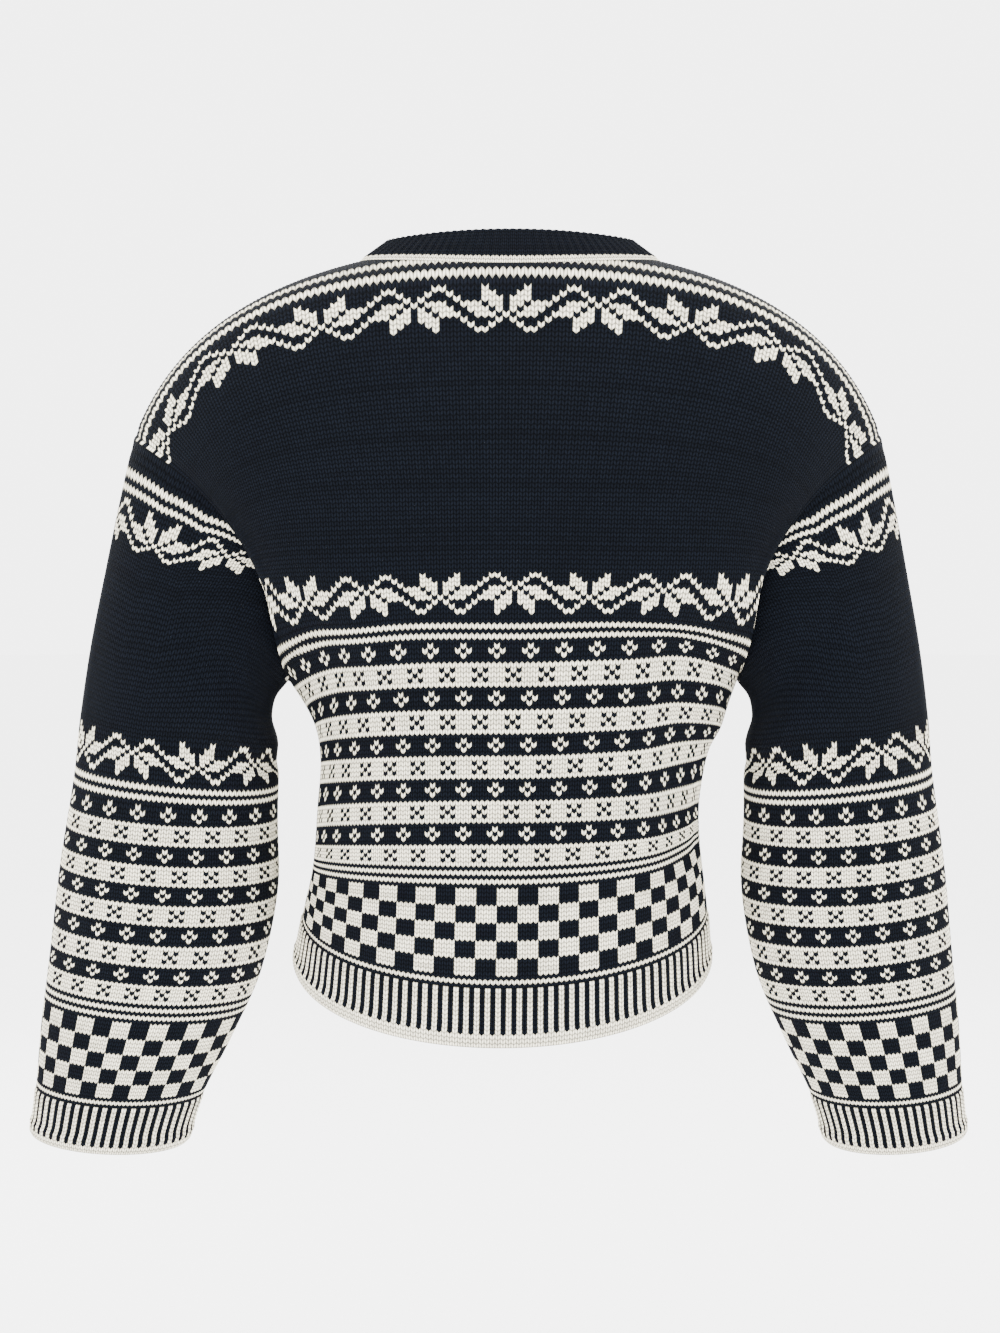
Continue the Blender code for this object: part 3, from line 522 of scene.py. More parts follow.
class BodySurface:
    """The outer surface of one half of the back or the front."""

    def __init__(self, face: Face, side: Side) -> None:
        """Draws the surface's levels.

        Args:
            face: Back or front.
            side: The wearer's side.
        """
        self.face = face
        self.side = side
        table, other = BACK_LEVELS, FRONT_LEVELS
        if face is Face.FRONT:
            table, other = other, table
        controls = np.array([self.level_controls(table, level) for level in LEVELS])
        ghost = self.level_controls(other, LEVELS[-2])
        self.rise = body_rise()
        self.top = self.rise[-1]
        after = (ghost - controls[-2]).reshape(-1) / (2 * (self.rise[-1] - self.rise[-2]))
        self.levels = Curve(self.rise, controls, after)
        lower = len(LOWER_LEVELS)
        self.underarm = self.rise[lower - 1]
        self.seam = Curve(self.rise[:lower], controls[:lower, 3])
        angles = [ARMHOLE_ANGLES[level] for level in LEVELS[lower - 1 :]]
        self.angles = Curve(self.rise[lower - 1 :], np.array(angles))
        self.table_rises = np.linspace(0.0, self.top, TABLE_RISES)
        self.table_shares = np.linspace(0.0, 1.0, TABLE_SHARES)
        grid = self.plain(*np.meshgrid(self.table_shares, self.table_rises))
        steps = np.linalg.norm(np.diff(grid, axis=1), axis=2)
        self.lengths = np.concatenate([np.zeros((len(grid), 1)), np.cumsum(steps, axis=1)], axis=1)

    def level_controls(self, table: dict[str, Half], level: str) -> np.ndarray:
        """Finds the points that a level's curve is drawn from.

        Args:
            table: The levels of the back or the front.
            level: The level's name.

        Returns:
            Four points, out from the centre line.
        """
        half = table[level]
        if level in SEAMS:
            seam = SEAMS[level]
            left = self.side is Side.LEFT
            edge_x, edge_z = (seam.left_x, seam.left_z) if left else (seam.right_x, seam.right_z)
            edge = np.array([edge_x, 0.0, edge_z])
        else:
            edge = ring_points(side_ring(0, self.side), math.copysign(ARMHOLE_ANGLES[level], half.turn_y))
        centre = np.array([0.0, half.centre_y, half.centre_z])
        across = np.array([half.reach, half.centre_y, half.centre_z])
        turn_z = edge[2] + half.fall * (half.centre_z - edge[2])
        return np.array([centre, across, [edge[0] * half.turn, half.turn_y, turn_z], edge])

    def armhole_angle(self, rise: np.ndarray) -> np.ndarray:
        """The armhole angle where the rows at these rises end."""
        angle = self.angles(rise)[..., 0]
        return angle if self.face is Face.BACK else -angle

    def edge(self, rise: np.ndarray) -> np.ndarray:
        """Finds where rows reach the side seam or the armhole.

        Args:
            rise: Heights along the cloth.

        Returns:
            The points.
        """
        upper = ring_points(side_ring(0, self.side), self.armhole_angle(rise))
        lower = self.seam(np.minimum(rise, self.underarm))
        return np.where((rise >= self.underarm)[..., None], upper, lower)

    def plain(self, share: np.ndarray, rise: np.ndarray) -> np.ndarray:
        """Finds points of the surface without its creases, as on the left.

        Args:
            share: Shares of the way from the centre line to the edge.
            rise: Heights along the cloth.

        Returns:
            The points.
        """
        controls = self.levels(rise)
        start, across, turn = controls[..., 0:3], controls[..., 3:6], controls[..., 6:9]
        end = self.edge(rise)
        share = share[..., None]
        rest = 1.0 - share
        inner = start * rest**3 + across * 3 * rest**2 * share
        return inner + turn * 3 * rest * share**2 + end * share**3

    def normal(self, share: np.ndarray, rise: np.ndarray) -> np.ndarray:
        """Finds the outward directions of the surface without its creases, as on the left.

        Args:
            share: Shares of the way from the centre line to the edge.
            rise: Heights along the cloth.

        Returns:
            The directions.
        """
        out, back = np.minimum(share + NORMAL_STEP, 1.0), np.maximum(share - NORMAL_STEP, 0.0)
        across = self.plain(out, rise) - self.plain(back, rise)
        high, low = np.minimum(rise + NORMAL_STEP / 2, self.top), np.maximum(rise - NORMAL_STEP / 2, 0.0)
        normal = np.cross(across, self.plain(share, high) - self.plain(share, low))
        return unit(-normal if self.face is Face.BACK else normal)

    def crease_depth(self, points: np.ndarray, share: np.ndarray, rise: np.ndarray) -> np.ndarray:
        """Works out how far the creases move the surface out, fading out at the seams.

        Args:
            points: Points of the surface without creases, as on the left.
            share: Their shares of the way from the centre line to the edge.
            rise: Their heights along the cloth.

        Returns:
            The distances.
        """
        x = points[..., 0] if self.side is Side.LEFT else -points[..., 0]
        total = np.zeros(rise.shape)
        for crease in CREASES:
            if crease.face is not self.face:
                continue
            run_x, run_z = crease.x1 - crease.x0, crease.z1 - crease.z0
            length = math.hypot(run_x, run_z)
            away_x, away_z = x - crease.x0, points[..., 2] - crease.z0
            place = (away_x * run_x + away_z * run_z) / length**2
            off = (away_x * run_z - away_z * run_x) / length
            beyond = np.maximum(np.maximum(-place, place - 1.0), 0.0) * length
            total += crease.depth * np.exp(-(off**2 + beyond**2) / crease.width**2)
        across = ease((1.0 - share) / CREASE_FADE_SHARE)
        return total * (across * ease(rise / CREASE_FADE_RISE) * ease((self.top - rise) / CREASE_FADE_RISE))

    def shares(self, stitches: np.ndarray, rise: np.ndarray) -> np.ndarray:
        """Finds where stitches lie along their rows.

        Args:
            stitches: Stitch counts from the centre line, one for each column.
            rise: Heights along the cloth, as rows by columns.

        Returns:
            Shares of the way from the centre line to the edge.
        """
        width = read_table(STITCH_WIDTHS, self.table_rises)[:, None]
        total = self.lengths[:, -1:]
        part = stitches[None, :] / BODY_STITCHES
        wanted = width * stitches[None, :] + (total - width * BODY_STITCHES) * part**3
        pairs = zip(wanted, self.lengths, strict=True)
        table = np.array([np.interp(row, lengths, self.table_shares) for row, lengths in pairs])
        place = np.clip(rise / self.top, 0.0, 1.0) * (len(table) - 1)
        low = np.minimum(place.astype(int), len(table) - 2)
        columns = np.broadcast_to(np.arange(len(stitches)), rise.shape)
        part = place - low
        return table[low, columns] * (1.0 - part) + table[low + 1, columns] * part

    def stitch_points(self, stitches: np.ndarray, rise: np.ndarray) -> tuple[np.ndarray, np.ndarray]:
        """Finds points and outward directions of the creased surface.

        Args:
            stitches: Stitch counts from the centre line, one for each column.
            rise: Heights along the cloth, as rows by columns.

        Returns:
            The points and the directions, on the surface's own side.
        """
        share = self.shares(stitches, rise)
        plain = self.plain(share, rise)
        normal = self.normal(share, rise)
        points = plain + normal * self.crease_depth(plain, share, rise)[..., None]
        return mirrored(points, self.side), mirrored(normal, self.side)

    def neck_rise(self, stitches: np.ndarray) -> np.ndarray:
        """Finds how high each column goes before it reaches the neck opening.

        Args:
            stitches: Stitch counts from the centre line, one for each column.

        Returns:
            Heights along the cloth.
        """
        depth = NECK_BACK if self.face is Face.BACK else NECK_FRONT
        low = np.full(len(stitches), self.underarm)
        high = np.full(len(stitches), self.top)
        for _ in range(SEARCH_STEPS):
            middle = (low + high) / 2
            points = self.plain(self.shares(stitches, middle[None])[0], middle)
            outside = (points[:, 0] / NECK_HALF_WIDTH) ** 2 + (points[:, 1] / depth) ** 2 > 1.0
            low, high = np.where(outside, middle, low), np.where(outside, high, middle)
        tops = np.full(len(stitches), self.top)
        ends = self.plain(self.shares(stitches, tops[None])[0], tops)
        return np.where(ends[:, 0] > NECK_HALF_WIDTH, self.top, low)


def body_rise() -> np.ndarray:
    """Works out the height of each level, the mean of the centre back and the left edge.

    Returns:
        Heights along the cloth.
    """
    centres = np.array([[0.0, BACK_LEVELS[level].centre_y, BACK_LEVELS[level].centre_z] for level in LEVELS])
    edges = []
    for level in LEVELS:
        if level in SEAMS:
            edges.append([SEAMS[level].left_x, 0.0, SEAMS[level].left_z])
        else:
            edges.append(ring_points(side_ring(0, Side.LEFT), ARMHOLE_ANGLES[level]))
    steps = [np.linalg.norm(np.diff(line, axis=0), axis=1) for line in (centres, np.array(edges))]
    return np.concatenate([[0.0], np.cumsum((steps[0] + steps[1]) / 2)])


class SleeveSurface:
    """The outer surface of a sleeve with its folds."""

    def __init__(self, side: Side) -> None:
        """Draws the rings.

        Args:
            side: The wearer's side.
        """
        self.side = side
        values = np.array([side_ring(index, side) for index in range(len(RINGS))])
        self.rings = Curve(np.arange(len(RINGS)), values)

    def fold_depth(self, angle: np.ndarray, place: np.ndarray) -> np.ndarray:
        """Works out how far the folds move the surface out.

        Args:
            angle: Degrees round the sleeve.
            place: Rings, counted from the armhole.

        Returns:
            The distances.
        """
        total = np.zeros(np.broadcast(angle, place).shape)
        for fold in FOLDS:
            off = (angle - fold.angle + 180.0) % 360.0 - 180.0
            away = ((off / fold.spread) ** 2, ((place - fold.ring) / fold.height) ** 2)
            total += fold.depth * np.exp(-away[0] - away[1])
        return total * ease(place / FOLD_FADE_RINGS) * ease((CUFF_RING - place) / FOLD_FADE_RINGS)

    def points(self, angle: np.ndarray, place: np.ndarray) -> tuple[np.ndarray, np.ndarray]:
        """Finds points and outward directions of the sleeve.

        Args:
            angle: Degrees round the sleeve.
            place: Rings, counted from the armhole.

        Returns:
            The points and the directions, on the sleeve's own side.
        """
        ring = self.rings(place)
        middle = (ring_points(ring, angle * 0.0) + ring_points(ring, angle * 0.0 + 180.0)) / 2
        middle[..., 1] = ring[..., Ring._fields.index("centre_y")]
        point = ring_points(ring, angle)
        out = unit(point - middle)
        point = point + out * self.fold_depth(angle, place)[..., None]
        return mirrored(point, self.side), mirrored(out, self.side)

    def stitch_angles(self, stitches: np.ndarray, place: np.ndarray, around: int) -> np.ndarray:
        """Turns stitch counts from the outer line into degrees, even along each half of a ring.

        Args:
            stitches: Stitches from the outer line, rising over the back.
            place: One ring for each row.
            around: How many stitches go round.

        Returns:
            Degrees, as rows by columns.
        """
        dense = np.linspace(-180.0, 180.0, ROUND_STEPS)
        grid, _ = self.points(*np.broadcast_arrays(dense[None, :], place[:, None]))
        lengths = np.cumsum(np.linalg.norm(np.diff(grid, axis=1), axis=2), axis=1)
        lengths = np.concatenate([np.zeros((len(lengths), 1)), lengths], axis=1)
        middle = lengths[:, [len(dense) // 2]]
        counts = np.where(dense < 0, lengths / middle - 1.0, (lengths - middle) / (lengths[:, -1:] - middle))
        return np.array([np.interp(stitches / around * 2.0, row, dense) for row in counts])


@dataclass
class Knit:
    """A piece of knitting: its outer points, columns by stitch and rows by knitted row."""

    name: str
    points: np.ndarray
    normals: np.ndarray
    stitches: np.ndarray
    rows: np.ndarray
    relief: np.ndarray
    cream: Pattern
    around: int = 0
    limits: np.ndarray | None = None
    rim_colour: float = 0.0

    def numbers(self, columns: np.ndarray, start: int) -> np.ndarray:
        """Numbers the points of a wall side, with all rows above a column's limit as one point.

        Args:
            columns: Which columns of the piece the side has.
            start: The number of its first point.

        Returns:
            The numbers, as rows by columns.
        """
        rows = len(self.rows)
        column = np.arange(len(columns))[None, :]
        row = np.arange(rows)[:, None]
        if self.limits is not None:
            row = np.minimum(row, self.limits[columns][None, :])
        return start + column * rows + row

    def build(self, material: bpy.types.Material) -> bpy.types.Object:
        """Makes the closed wall, its stitch map and its yarn colours.

        Args:
            material: The finish of the whole piece.

        Returns:
            The new object.
        """
        rows, columns = self.points.shape[:2]
        every = np.arange(0, columns, STEPS)
        outer_ids = self.numbers(np.arange(columns), 0)
        inner_ids = self.numbers(every, rows * columns)
        outer = self.points + self.normals * self.relief[..., None]
        inner = (self.points - self.normals * WALL)[:, every]
        points = np.concatenate([flat_columns(outer), flat_columns(inner)])
        grid = np.stack(np.meshgrid(self.stitches, self.rows), axis=-1)
        maps = np.concatenate([flat_columns(grid), flat_columns(grid[:, every])])
        outer_faces, outer_tones = self.side_faces(outer_ids, self.stitches)
        inner_faces, inner_tones = self.side_faces(inner_ids[:, ::-1], self.stitches[every][::-1])
        rims = self.rim_faces(outer_ids, inner_ids)
        faces = [tuple(dict.fromkeys(face)) for face in outer_faces + inner_faces + rims]
        tones = outer_tones + inner_tones + [self.rim_colour] * len(rims)
        tones = [tone for face, tone in zip(faces, tones, strict=True) if len(face) > 2]
        faces = [face for face in faces if len(face) > 2]
        first, second, third = (points[[face[corner] for face in faces]] for corner in range(3))
        volume = np.einsum("ij,ij->i", first, np.cross(second, third)).sum()
        # Pieces of the left and the right, and of the back and the front, come out turned differently
        if volume <= 0:
            faces = [face[::-1] for face in faces]
        # The whole garment leans a little to one side
        points[:, 0] -= LEAN * points[:, 2]
        mesh = bpy.data.meshes.new(f"{self.name}_knit")
        mesh.from_pydata(points.tolist(), [], faces)
        layer = mesh.uv_layers.new(name="stitches")
        corners = maps[np.concatenate([np.array(face) for face in faces])]
        layer.data.foreach_set("uv", corners.astype(np.float32).reshape(-1))
        yarn = mesh.attributes.new("yarn", "FLOAT", "CORNER")
        counts = [len(face) for face in faces]
        yarn.data.foreach_set("value", np.repeat(np.array(tones, np.float32), counts))
        mesh.materials.append(material)
        made = bpy.data.objects.new(f"{self.name}_knit", mesh)
        bpy.context.scene.collection.objects.link(made)
        smooth(made)
        return made

    def side_faces(
        self, ids: np.ndarray, stitches: np.ndarray
    ) -> tuple[list[tuple[int, ...]], list[float]]:
        """Lists the faces of one side of the wall with their yarn colours.

        Args:
            ids: The numbers of the side's points, as rows by columns.
            stitches: The stitch place of each column.

        Returns:
            The faces, and 1 for cream or 0 for dark for each of them.
        """
        after = np.roll(ids, -1, axis=1)
        next_stitches = np.roll(stitches, -1)
        if self.around:
            rising = next_stitches[-1] < stitches[-1]
            next_stitches[-1] += self.around if rising else -self.around
        else:
            ids, after = ids[:, :-1], after[:, :-1]
            stitches, next_stitches = stitches[:-1], next_stitches[:-1]
        corners = np.stack([ids[:-1], after[:-1], after[1:], ids[1:]], axis=-1).reshape(-1, 4)
        stitch = np.floor((stitches + next_stitches) / 2)
        row = np.floor((self.rows[:-1] + self.rows[1:]) / 2)
        tones = self.cream(*np.meshgrid(stitch, row)).reshape(-1)
        return [tuple(corner) for corner in corners.tolist()], tones.tolist()

    def rim_faces(self, outer: np.ndarray, inner: np.ndarray) -> list[tuple[int, ...]]:
        """Lists the faces between the edges of the outer and inner sides.

        Args:
            outer: The numbers of the outer points, as rows by columns.
            inner: The numbers of the inner points, one column for each whole stitch.

        Returns:
            The faces.
        """
        faces: list[tuple[int, ...]] = []
        for row, turn in ((0, -1), (-1, 1)):
            rim, inside = outer[row].tolist(), inner[row].tolist()
            if self.around:
                rim.append(rim[0])
                inside.append(inside[0])
            for place in range(len(inside) - 1):
                span = rim[place * STEPS : (place + 1) * STEPS + 1]
                faces.append(tuple([*span, inside[place + 1], inside[place]])[::turn])
        if not self.around:
            for column, turn in ((0, 1), (-1, -1)):
                rim, inside = outer[:, column].tolist(), inner[:, column].tolist()
                for place in range(len(rim) - 1):
                    face = (rim[place], rim[place + 1], inside[place + 1], inside[place])
                    faces.append(face[::turn])
        return faces


def select_only(made: bpy.types.Object) -> None:
    """Selects one object and makes it the active one.

    Args:
        made: The object.
    """
    bpy.ops.object.select_all(action="DESELECT")
    made.select_set(True)
    bpy.context.view_layer.objects.active = made


def smooth(made: bpy.types.Object) -> None:
    """Shades a mesh smooth and leaves creases only at its rims.

    Args:
        made: The mesh object.
    """
    select_only(made)
    bpy.ops.object.shade_smooth_by_angle(angle=math.radians(SHARP_ANGLE))
    made.select_set(False)


def leg_shift(stitches: np.ndarray) -> np.ndarray:
    """How far each column shifts along its rows, up at a stitch's sides and down at its middle."""
    part = np.abs((stitches % 1.0) - 0.5) * 2.0
    return (part - 0.5) * LEG_SLANT


def leg_relief(stitches: np.ndarray) -> np.ndarray:
    """The height of the two legs of each stitch."""
    return LEG_HEIGHT * np.abs(np.sin(2.0 * math.pi * stitches))


def seam_dip(distance: np.ndarray) -> np.ndarray:
    """How far the cloth sinks beside a seam, by the stitches or rows away from it."""
    return SEAM_DIP * np.sin(math.pi * np.clip(distance / SEAM_STITCHES, 0.0, 1.0))


def rib_wave(stitches: np.ndarray, sharpness: float) -> np.ndarray:
    """Goes from 0 on one column of a rib to 1 on the next, the other way round below zero."""
    return 0.5 + 0.5 * np.clip(np.cos(math.pi * (stitches - 0.5)) * sharpness, -1.0, 1.0)


def row_shift(stitches: np.ndarray, rows: np.ndarray) -> np.ndarray:
    """Works out how many rows each point shifts up, with straight first and last rows.

    Args:
        stitches: The stitch place of each column.
        rows: The rows of the piece.

    Returns:
        Rows to shift by, as rows by columns.
    """
    inside = np.ones(len(rows))
    inside[0] = inside[-1] = 0.0
    return leg_shift(stitches)[None, :] * inside[:, None]


def rib_relief(stitches: np.ndarray, rows: np.ndarray) -> np.ndarray:
    """Works out the height of a striped rib, with its dark bars sunk between raised columns.

    Args:
        stitches: The stitch place of each column.
        rows: The rows of the rib, up from its edge.

    Returns:
        Heights over the surface, as rows by columns.
    """
    depth = rows[-1] - rows[:, None]
    height = rows[:, None] - rows[0]
    bars = ease(depth) * ease((height - EDGE_ROWS + RIB_START_EARLY) / RIB_START_ROWS)
    raised = RIB_RELIEF * rib_wave(stitches, STRIPE_SHARPNESS)[None, :] * bars
    edge = RIB_EDGE_RELIEF * ease(height) * (1.0 - ease((height - EDGE_ROWS) / RIB_EDGE_END_ROWS))
    return raised + edge + leg_relief(stitches)[None, :] * STRIPE_LEG_SHARE


def checked(
    cream: np.ndarray, stitch: np.ndarray, row: np.ndarray, start: int, first: int
) -> np.ndarray:
    """Adds a border of checks.

    Args:
        cream: The pattern so far.
        stitch: Whole stitches.
        row: Whole rows.
        start: The border's first row.
        first: A stitch at which a check starts that is cream in the first row.

    Returns:
        The pattern with the border.
    """
    place = row - start
    light = (np.floor((stitch - first) / CHECK_SIZE) + np.floor(place / CHECK_SIZE)) % 2 == 0
    return np.where((place >= 0) & (place < CHECK_ROWS), light, cream)


def banded(
    cream: np.ndarray, stitch: np.ndarray, row: np.ndarray, start: int, count: int, flower: int
) -> np.ndarray:
    """Adds bands of five rows, alternately cream with crosses and dark with flowers.

    Args:
        cream: The pattern so far.
        stitch: Whole stitches.
        row: Whole rows.
        start: The first row of the lowest band, which is cream.
        count: How many bands there are.
        flower: The middle stitch of a flower.

    Returns:
        The pattern with the bands.
    """
    chart = chart_mask(FLOWER)
    place = row - start
    inside = (place >= 0) & (place < BAND_ROWS * count)
    band = np.floor(place / BAND_ROWS)
    line = (place - BAND_ROWS * band - 1).astype(int)
    light = band % 2 == 0
    column = ((stitch - flower + 1) % FLOWER_REPEAT).astype(int)
    column = np.where(light, (column + FLOWER_REPEAT // 2) % FLOWER_REPEAT, column)
    marked = (line >= 0) & (line < len(FLOWER)) & (column < len(FLOWER))
    mark = chart[np.clip(line, 0, len(FLOWER) - 1), np.clip(column, 0, len(FLOWER) - 1)]
    tone = np.where(light, 1.0 - marked * (1.0 - mark), marked * mark)
    return np.where(inside, tone, cream)


def vine(
    cream: np.ndarray, stitch: np.ndarray, row: np.ndarray, start: int, crossing: int
) -> np.ndarray:
    """Adds a border of two stems that cross between pairs of leaves.

    Args:
        cream: The pattern so far.
        stitch: Whole stitches.
        row: Whole rows.
        start: The border's first row.
        crossing: A stitch where the stems cross.

    Returns:
        The pattern with the border.
    """
    chart = chart_mask(VINE)
    line = (row - start).astype(int)
    inside = (line >= 0) & (line < len(VINE))
    place = ((stitch - crossing) % (2 * VINE_HALF)).astype(int)
    place = np.minimum(place, 2 * VINE_HALF - place)
    return np.where(inside, chart[np.clip(line, 0, len(VINE) - 1), place], cream)


def body_pattern(stitch: np.ndarray, row: np.ndarray) -> np.ndarray:
    """Says where the body is cream.

    Args:
        stitch: Whole stitches from the centre line, rising towards the wearer's left.
        row: Whole rows above the rib.

    Returns:
        1 for cream and 0 for dark.
    """
    cream = np.isin(row, BODY_SINGLES).astype(float)
    cream = checked(cream, stitch, row, start=3, first=-3)
    cream = banded(cream, stitch, row, start=28, count=10, flower=1)
    cream = vine(cream, stitch, row, start=83, crossing=11)
    return vine(cream, stitch, row, start=143, crossing=0)


def sleeve_pattern(stitch: np.ndarray, row: np.ndarray) -> np.ndarray:
    """Says where a sleeve is cream.

    Args:
        stitch: Whole stitches from the outer line, rising over the back.
        row: Whole rows up to the armhole, below zero.

    Returns:
        1 for cream and 0 for dark.
    """
    down = -1 - row
    cream = np.isin(down, SLEEVE_SINGLES).astype(float)
    cream = vine(cream, stitch, row, start=-16, crossing=14)
    cream = vine(cream, stitch, row, start=-61, crossing=33)
    cream = banded(cream, stitch, row, start=-115, count=10, flower=34)
    return checked(cream, stitch, down, start=120, first=31)


def rib_pattern(stitch: np.ndarray, row: np.ndarray) -> np.ndarray:
    """Says where a striped rib is cream, with dark bars above its edge."""
    return np.where((stitch % 2 == 1) & (row < -0.5) & (row >= EDGE_ROWS - RIB_ROWS), 0.0, 1.0)


def dark_pattern(stitch: np.ndarray, row: np.ndarray) -> np.ndarray:
    """Says that no stitch is cream."""
    return np.zeros(np.broadcast(stitch, row).shape)


def foot_pattern(stitch: np.ndarray, row: np.ndarray) -> np.ndarray:
    """Says that only the foot of the neckband is cream."""
    return np.where(row < FOOT_ROWS, 1.0, 0.0) * np.ones(stitch.shape)


class Nodes:
    """Adds and joins the nodes of one tree."""

    def __init__(self, tree: bpy.types.NodeTree) -> None:
        """Keeps the tree that is worked on."""
        self.tree = tree

    def add(self, kind: str, **settings: object) -> bpy.types.Node:
        """Adds a node.

        Args:
            kind: Its type.
            **settings: Some of its properties.

        Returns:
            The node.
        """
        node = self.tree.nodes.new(kind)
        for name, value in settings.items():
            setattr(node, name, value)
        return node

    def feed(self, socket: Socket, value: object) -> None:
        """Joins a socket to another, or sets its value.

        Args:
            socket: An input.
            value: An output to join it to, or a plain value.
        """
        if isinstance(value, bpy.types.NodeSocket):
            self.tree.links.new(value, socket)
        else:
            socket.default_value = value

    def maths(self, operation: str, *values: object) -> Socket:
        """Adds a Math node.

        Args:
            operation: What it does.
            *values: Up to three inputs, where zero stands for those left out.

        Returns:
            Its result.
        """
        node = self.add("ShaderNodeMath", operation=operation)
        padded = (*values, 0.0, 0.0)[: len(node.inputs)]
        for socket, value in zip(node.inputs, padded, strict=True):
            self.feed(socket, value)
        return node.outputs[0]

    def times(self, first: object, second: object) -> Socket:
        """Multiplies two values."""
        return self.maths("MULTIPLY", first, second)

    def spread(self, value: object, source: Span, target: Span) -> Socket:
        """Adds a Map Range node.

        Args:
            value: The value to map.
            source: Its lowest and highest value.
            target: What those two become.

        Returns:
            The mapped value.
        """
        node = self.add("ShaderNodeMapRange")
        for socket, number in zip(node.inputs, (value, *source, *target), strict=False):
            self.feed(socket, number)
        return node.outputs[0]

    def blend(self, factor: object, first: object, second: object, mode: str = "MIX") -> Socket:
        """Adds a colour Mix node.

        Args:
            factor: The share of the second colour.
            first: The first colour.
            second: The second colour.
            mode: How they are mixed.

        Returns:
            The mixed colour.
        """
        node = self.add("ShaderNodeMix", data_type="RGBA", blend_type=mode)
        for place, value in ((0, factor), (6, first), (7, second)):
            self.feed(node.inputs[place], value)
        return node.outputs[2]

    def noise(self, vector: Socket, scale: float, detail: float) -> Socket:
        """Adds a Noise Texture node.

        Args:
            vector: Where it is read.
            scale: How fine it is.
            detail: How many finer layers it has.

        Returns:
            Its value.
        """
        node = self.add("ShaderNodeTexNoise")
        for name, value in (("Vector", vector), ("Scale", scale), ("Detail", detail)):
            self.feed(node.inputs[name], value)
        return node.outputs["Fac"]


def new_group(
    name: str, inputs: dict[str, str], outputs: tuple[str, ...]
) -> tuple[bpy.types.NodeTree, Nodes]:
    """Makes an empty shader node group with named sockets.

    Args:
        name: The group's name.
        inputs: Names of its inputs with their socket types.
        outputs: Names of its outputs, which are all plain values.

    Returns:
        The group and a helper that adds nodes to it.
    """
    tree = bpy.data.node_groups.new(name, "ShaderNodeTree")
    for label, kind in inputs.items():
        tree.interface.new_socket(label, in_out="INPUT", socket_type=kind)
    for label in outputs:
        tree.interface.new_socket(label, in_out="OUTPUT", socket_type="NodeSocketFloat")
    return tree, Nodes(tree)


def put_out(nodes: Nodes, values: dict[str, Socket]) -> None:
    """Ends a group.

    Args:
        nodes: The helper of the group.
        values: What each of its outputs gives.
    """
    put = nodes.add("NodeGroupOutput")
    for name, value in values.items():
        nodes.feed(put.inputs[name], value)


def stitch_group() -> bpy.types.NodeTree:
    """Builds the effect of single stitches: the relief of their yarn, and a mask of the gaps between legs
    and rows where painted shade darkens the colour.

    Returns:
        The group.
    """
    tree, nodes = new_group(
        "stitch relief",
        {"Stitches": "NodeSocketVector", "Plies": "NodeSocketFloat"},
        ("Height", "Gap shade", "Tone", "Row tone"),
    )
    given = nodes.add("NodeGroupInput")
    split = nodes.add("ShaderNodeSeparateXYZ")
    nodes.feed(split.inputs[0], given.outputs["Stitches"])
    across, along = split.outputs[0], split.outputs[1]
    leg = nodes.maths("FRACT", nodes.times(across, 2.0))
    round_leg = nodes.maths("SINE", nodes.times(leg, math.pi))
    overlap = nodes.maths("SINE", nodes.times(nodes.maths("FRACT", along), math.pi))
    side = nodes.maths("FLOOR", nodes.times(nodes.maths("FRACT", across), 2.0))
    slant = nodes.times(nodes.maths("SUBTRACT", nodes.times(side, 2.0), 1.0), leg)
    twist = nodes.times(nodes.maths("ADD", along, nodes.times(slant, PLY_SLANT)), 2 * math.pi)
    ply = nodes.maths("SINE", nodes.times(twist, given.outputs["Plies"]))
    height = nodes.maths("MULTIPLY_ADD", round_leg, LEG_ROUNDNESS, nodes.times(overlap, ROW_ROUNDNESS))
    height = nodes.maths("MULTIPLY_ADD", ply, PLY_ROUNDNESS, height)
    # Painted shade: this mask is 1 on the middle of each leg and falls to 0 in the gaps between legs and
    # rows, where the colour is darkened.
    gap_shade = nodes.times(
        nodes.maths("POWER", round_leg, LEG_GAP_SHADE_POWER), nodes.maths("POWER", overlap, ROW_GAP_SHADE_POWER)
    )
    cell = nodes.add("ShaderNodeVectorMath", operation="FLOOR")
    nodes.feed(cell.inputs[0], given.outputs["Stitches"])
    stitch_random = nodes.add("ShaderNodeTexWhiteNoise", noise_dimensions="2D")
    nodes.feed(stitch_random.inputs["Vector"], cell.outputs[0])
    row_random = nodes.add("ShaderNodeTexWhiteNoise", noise_dimensions="1D")
    nodes.feed(row_random.inputs["W"], nodes.maths("FLOOR", along))
    tone, row_tone = stitch_random.outputs["Value"], row_random.outputs["Value"]
    put_out(nodes, {"Height": height, "Gap shade": gap_shade, "Tone": tone, "Row tone": row_tone})
    return tree


def fibre_group() -> bpy.types.NodeTree:
    """Builds the effect of wool fibres: fine fuzz and slow changes of shade.

    Returns:
        The group.
    """
    tree, nodes = new_group("wool fibre", {"Place": "NodeSocketVector"}, ("Fuzz", "Shade"))
    place = nodes.add("NodeGroupInput").outputs["Place"]
    fuzz = nodes.noise(place, scale=2600.0, detail=4.0)
    shade = nodes.noise(place, scale=14.0, detail=3.0)
    put_out(nodes, {"Fuzz": fuzz, "Shade": shade})
    return tree


def new_material(
    name: str, constants: dict[str, object]
) -> tuple[bpy.types.Material, bpy.types.Node, Nodes]:
    """Makes a material.

    Args:
        name: Its name.
        constants: What is the same all over the surface, by the name of the shader's socket.

    Returns:
        The material, its shader and a helper that adds nodes to it.
    """
    material = bpy.data.materials.new(name)
    material.use_nodes = True
    shader = material.node_tree.nodes["Principled BSDF"]
    for socket, value in constants.items():
        shader.inputs[socket].default_value = value
    return material, shader, Nodes(material.node_tree)


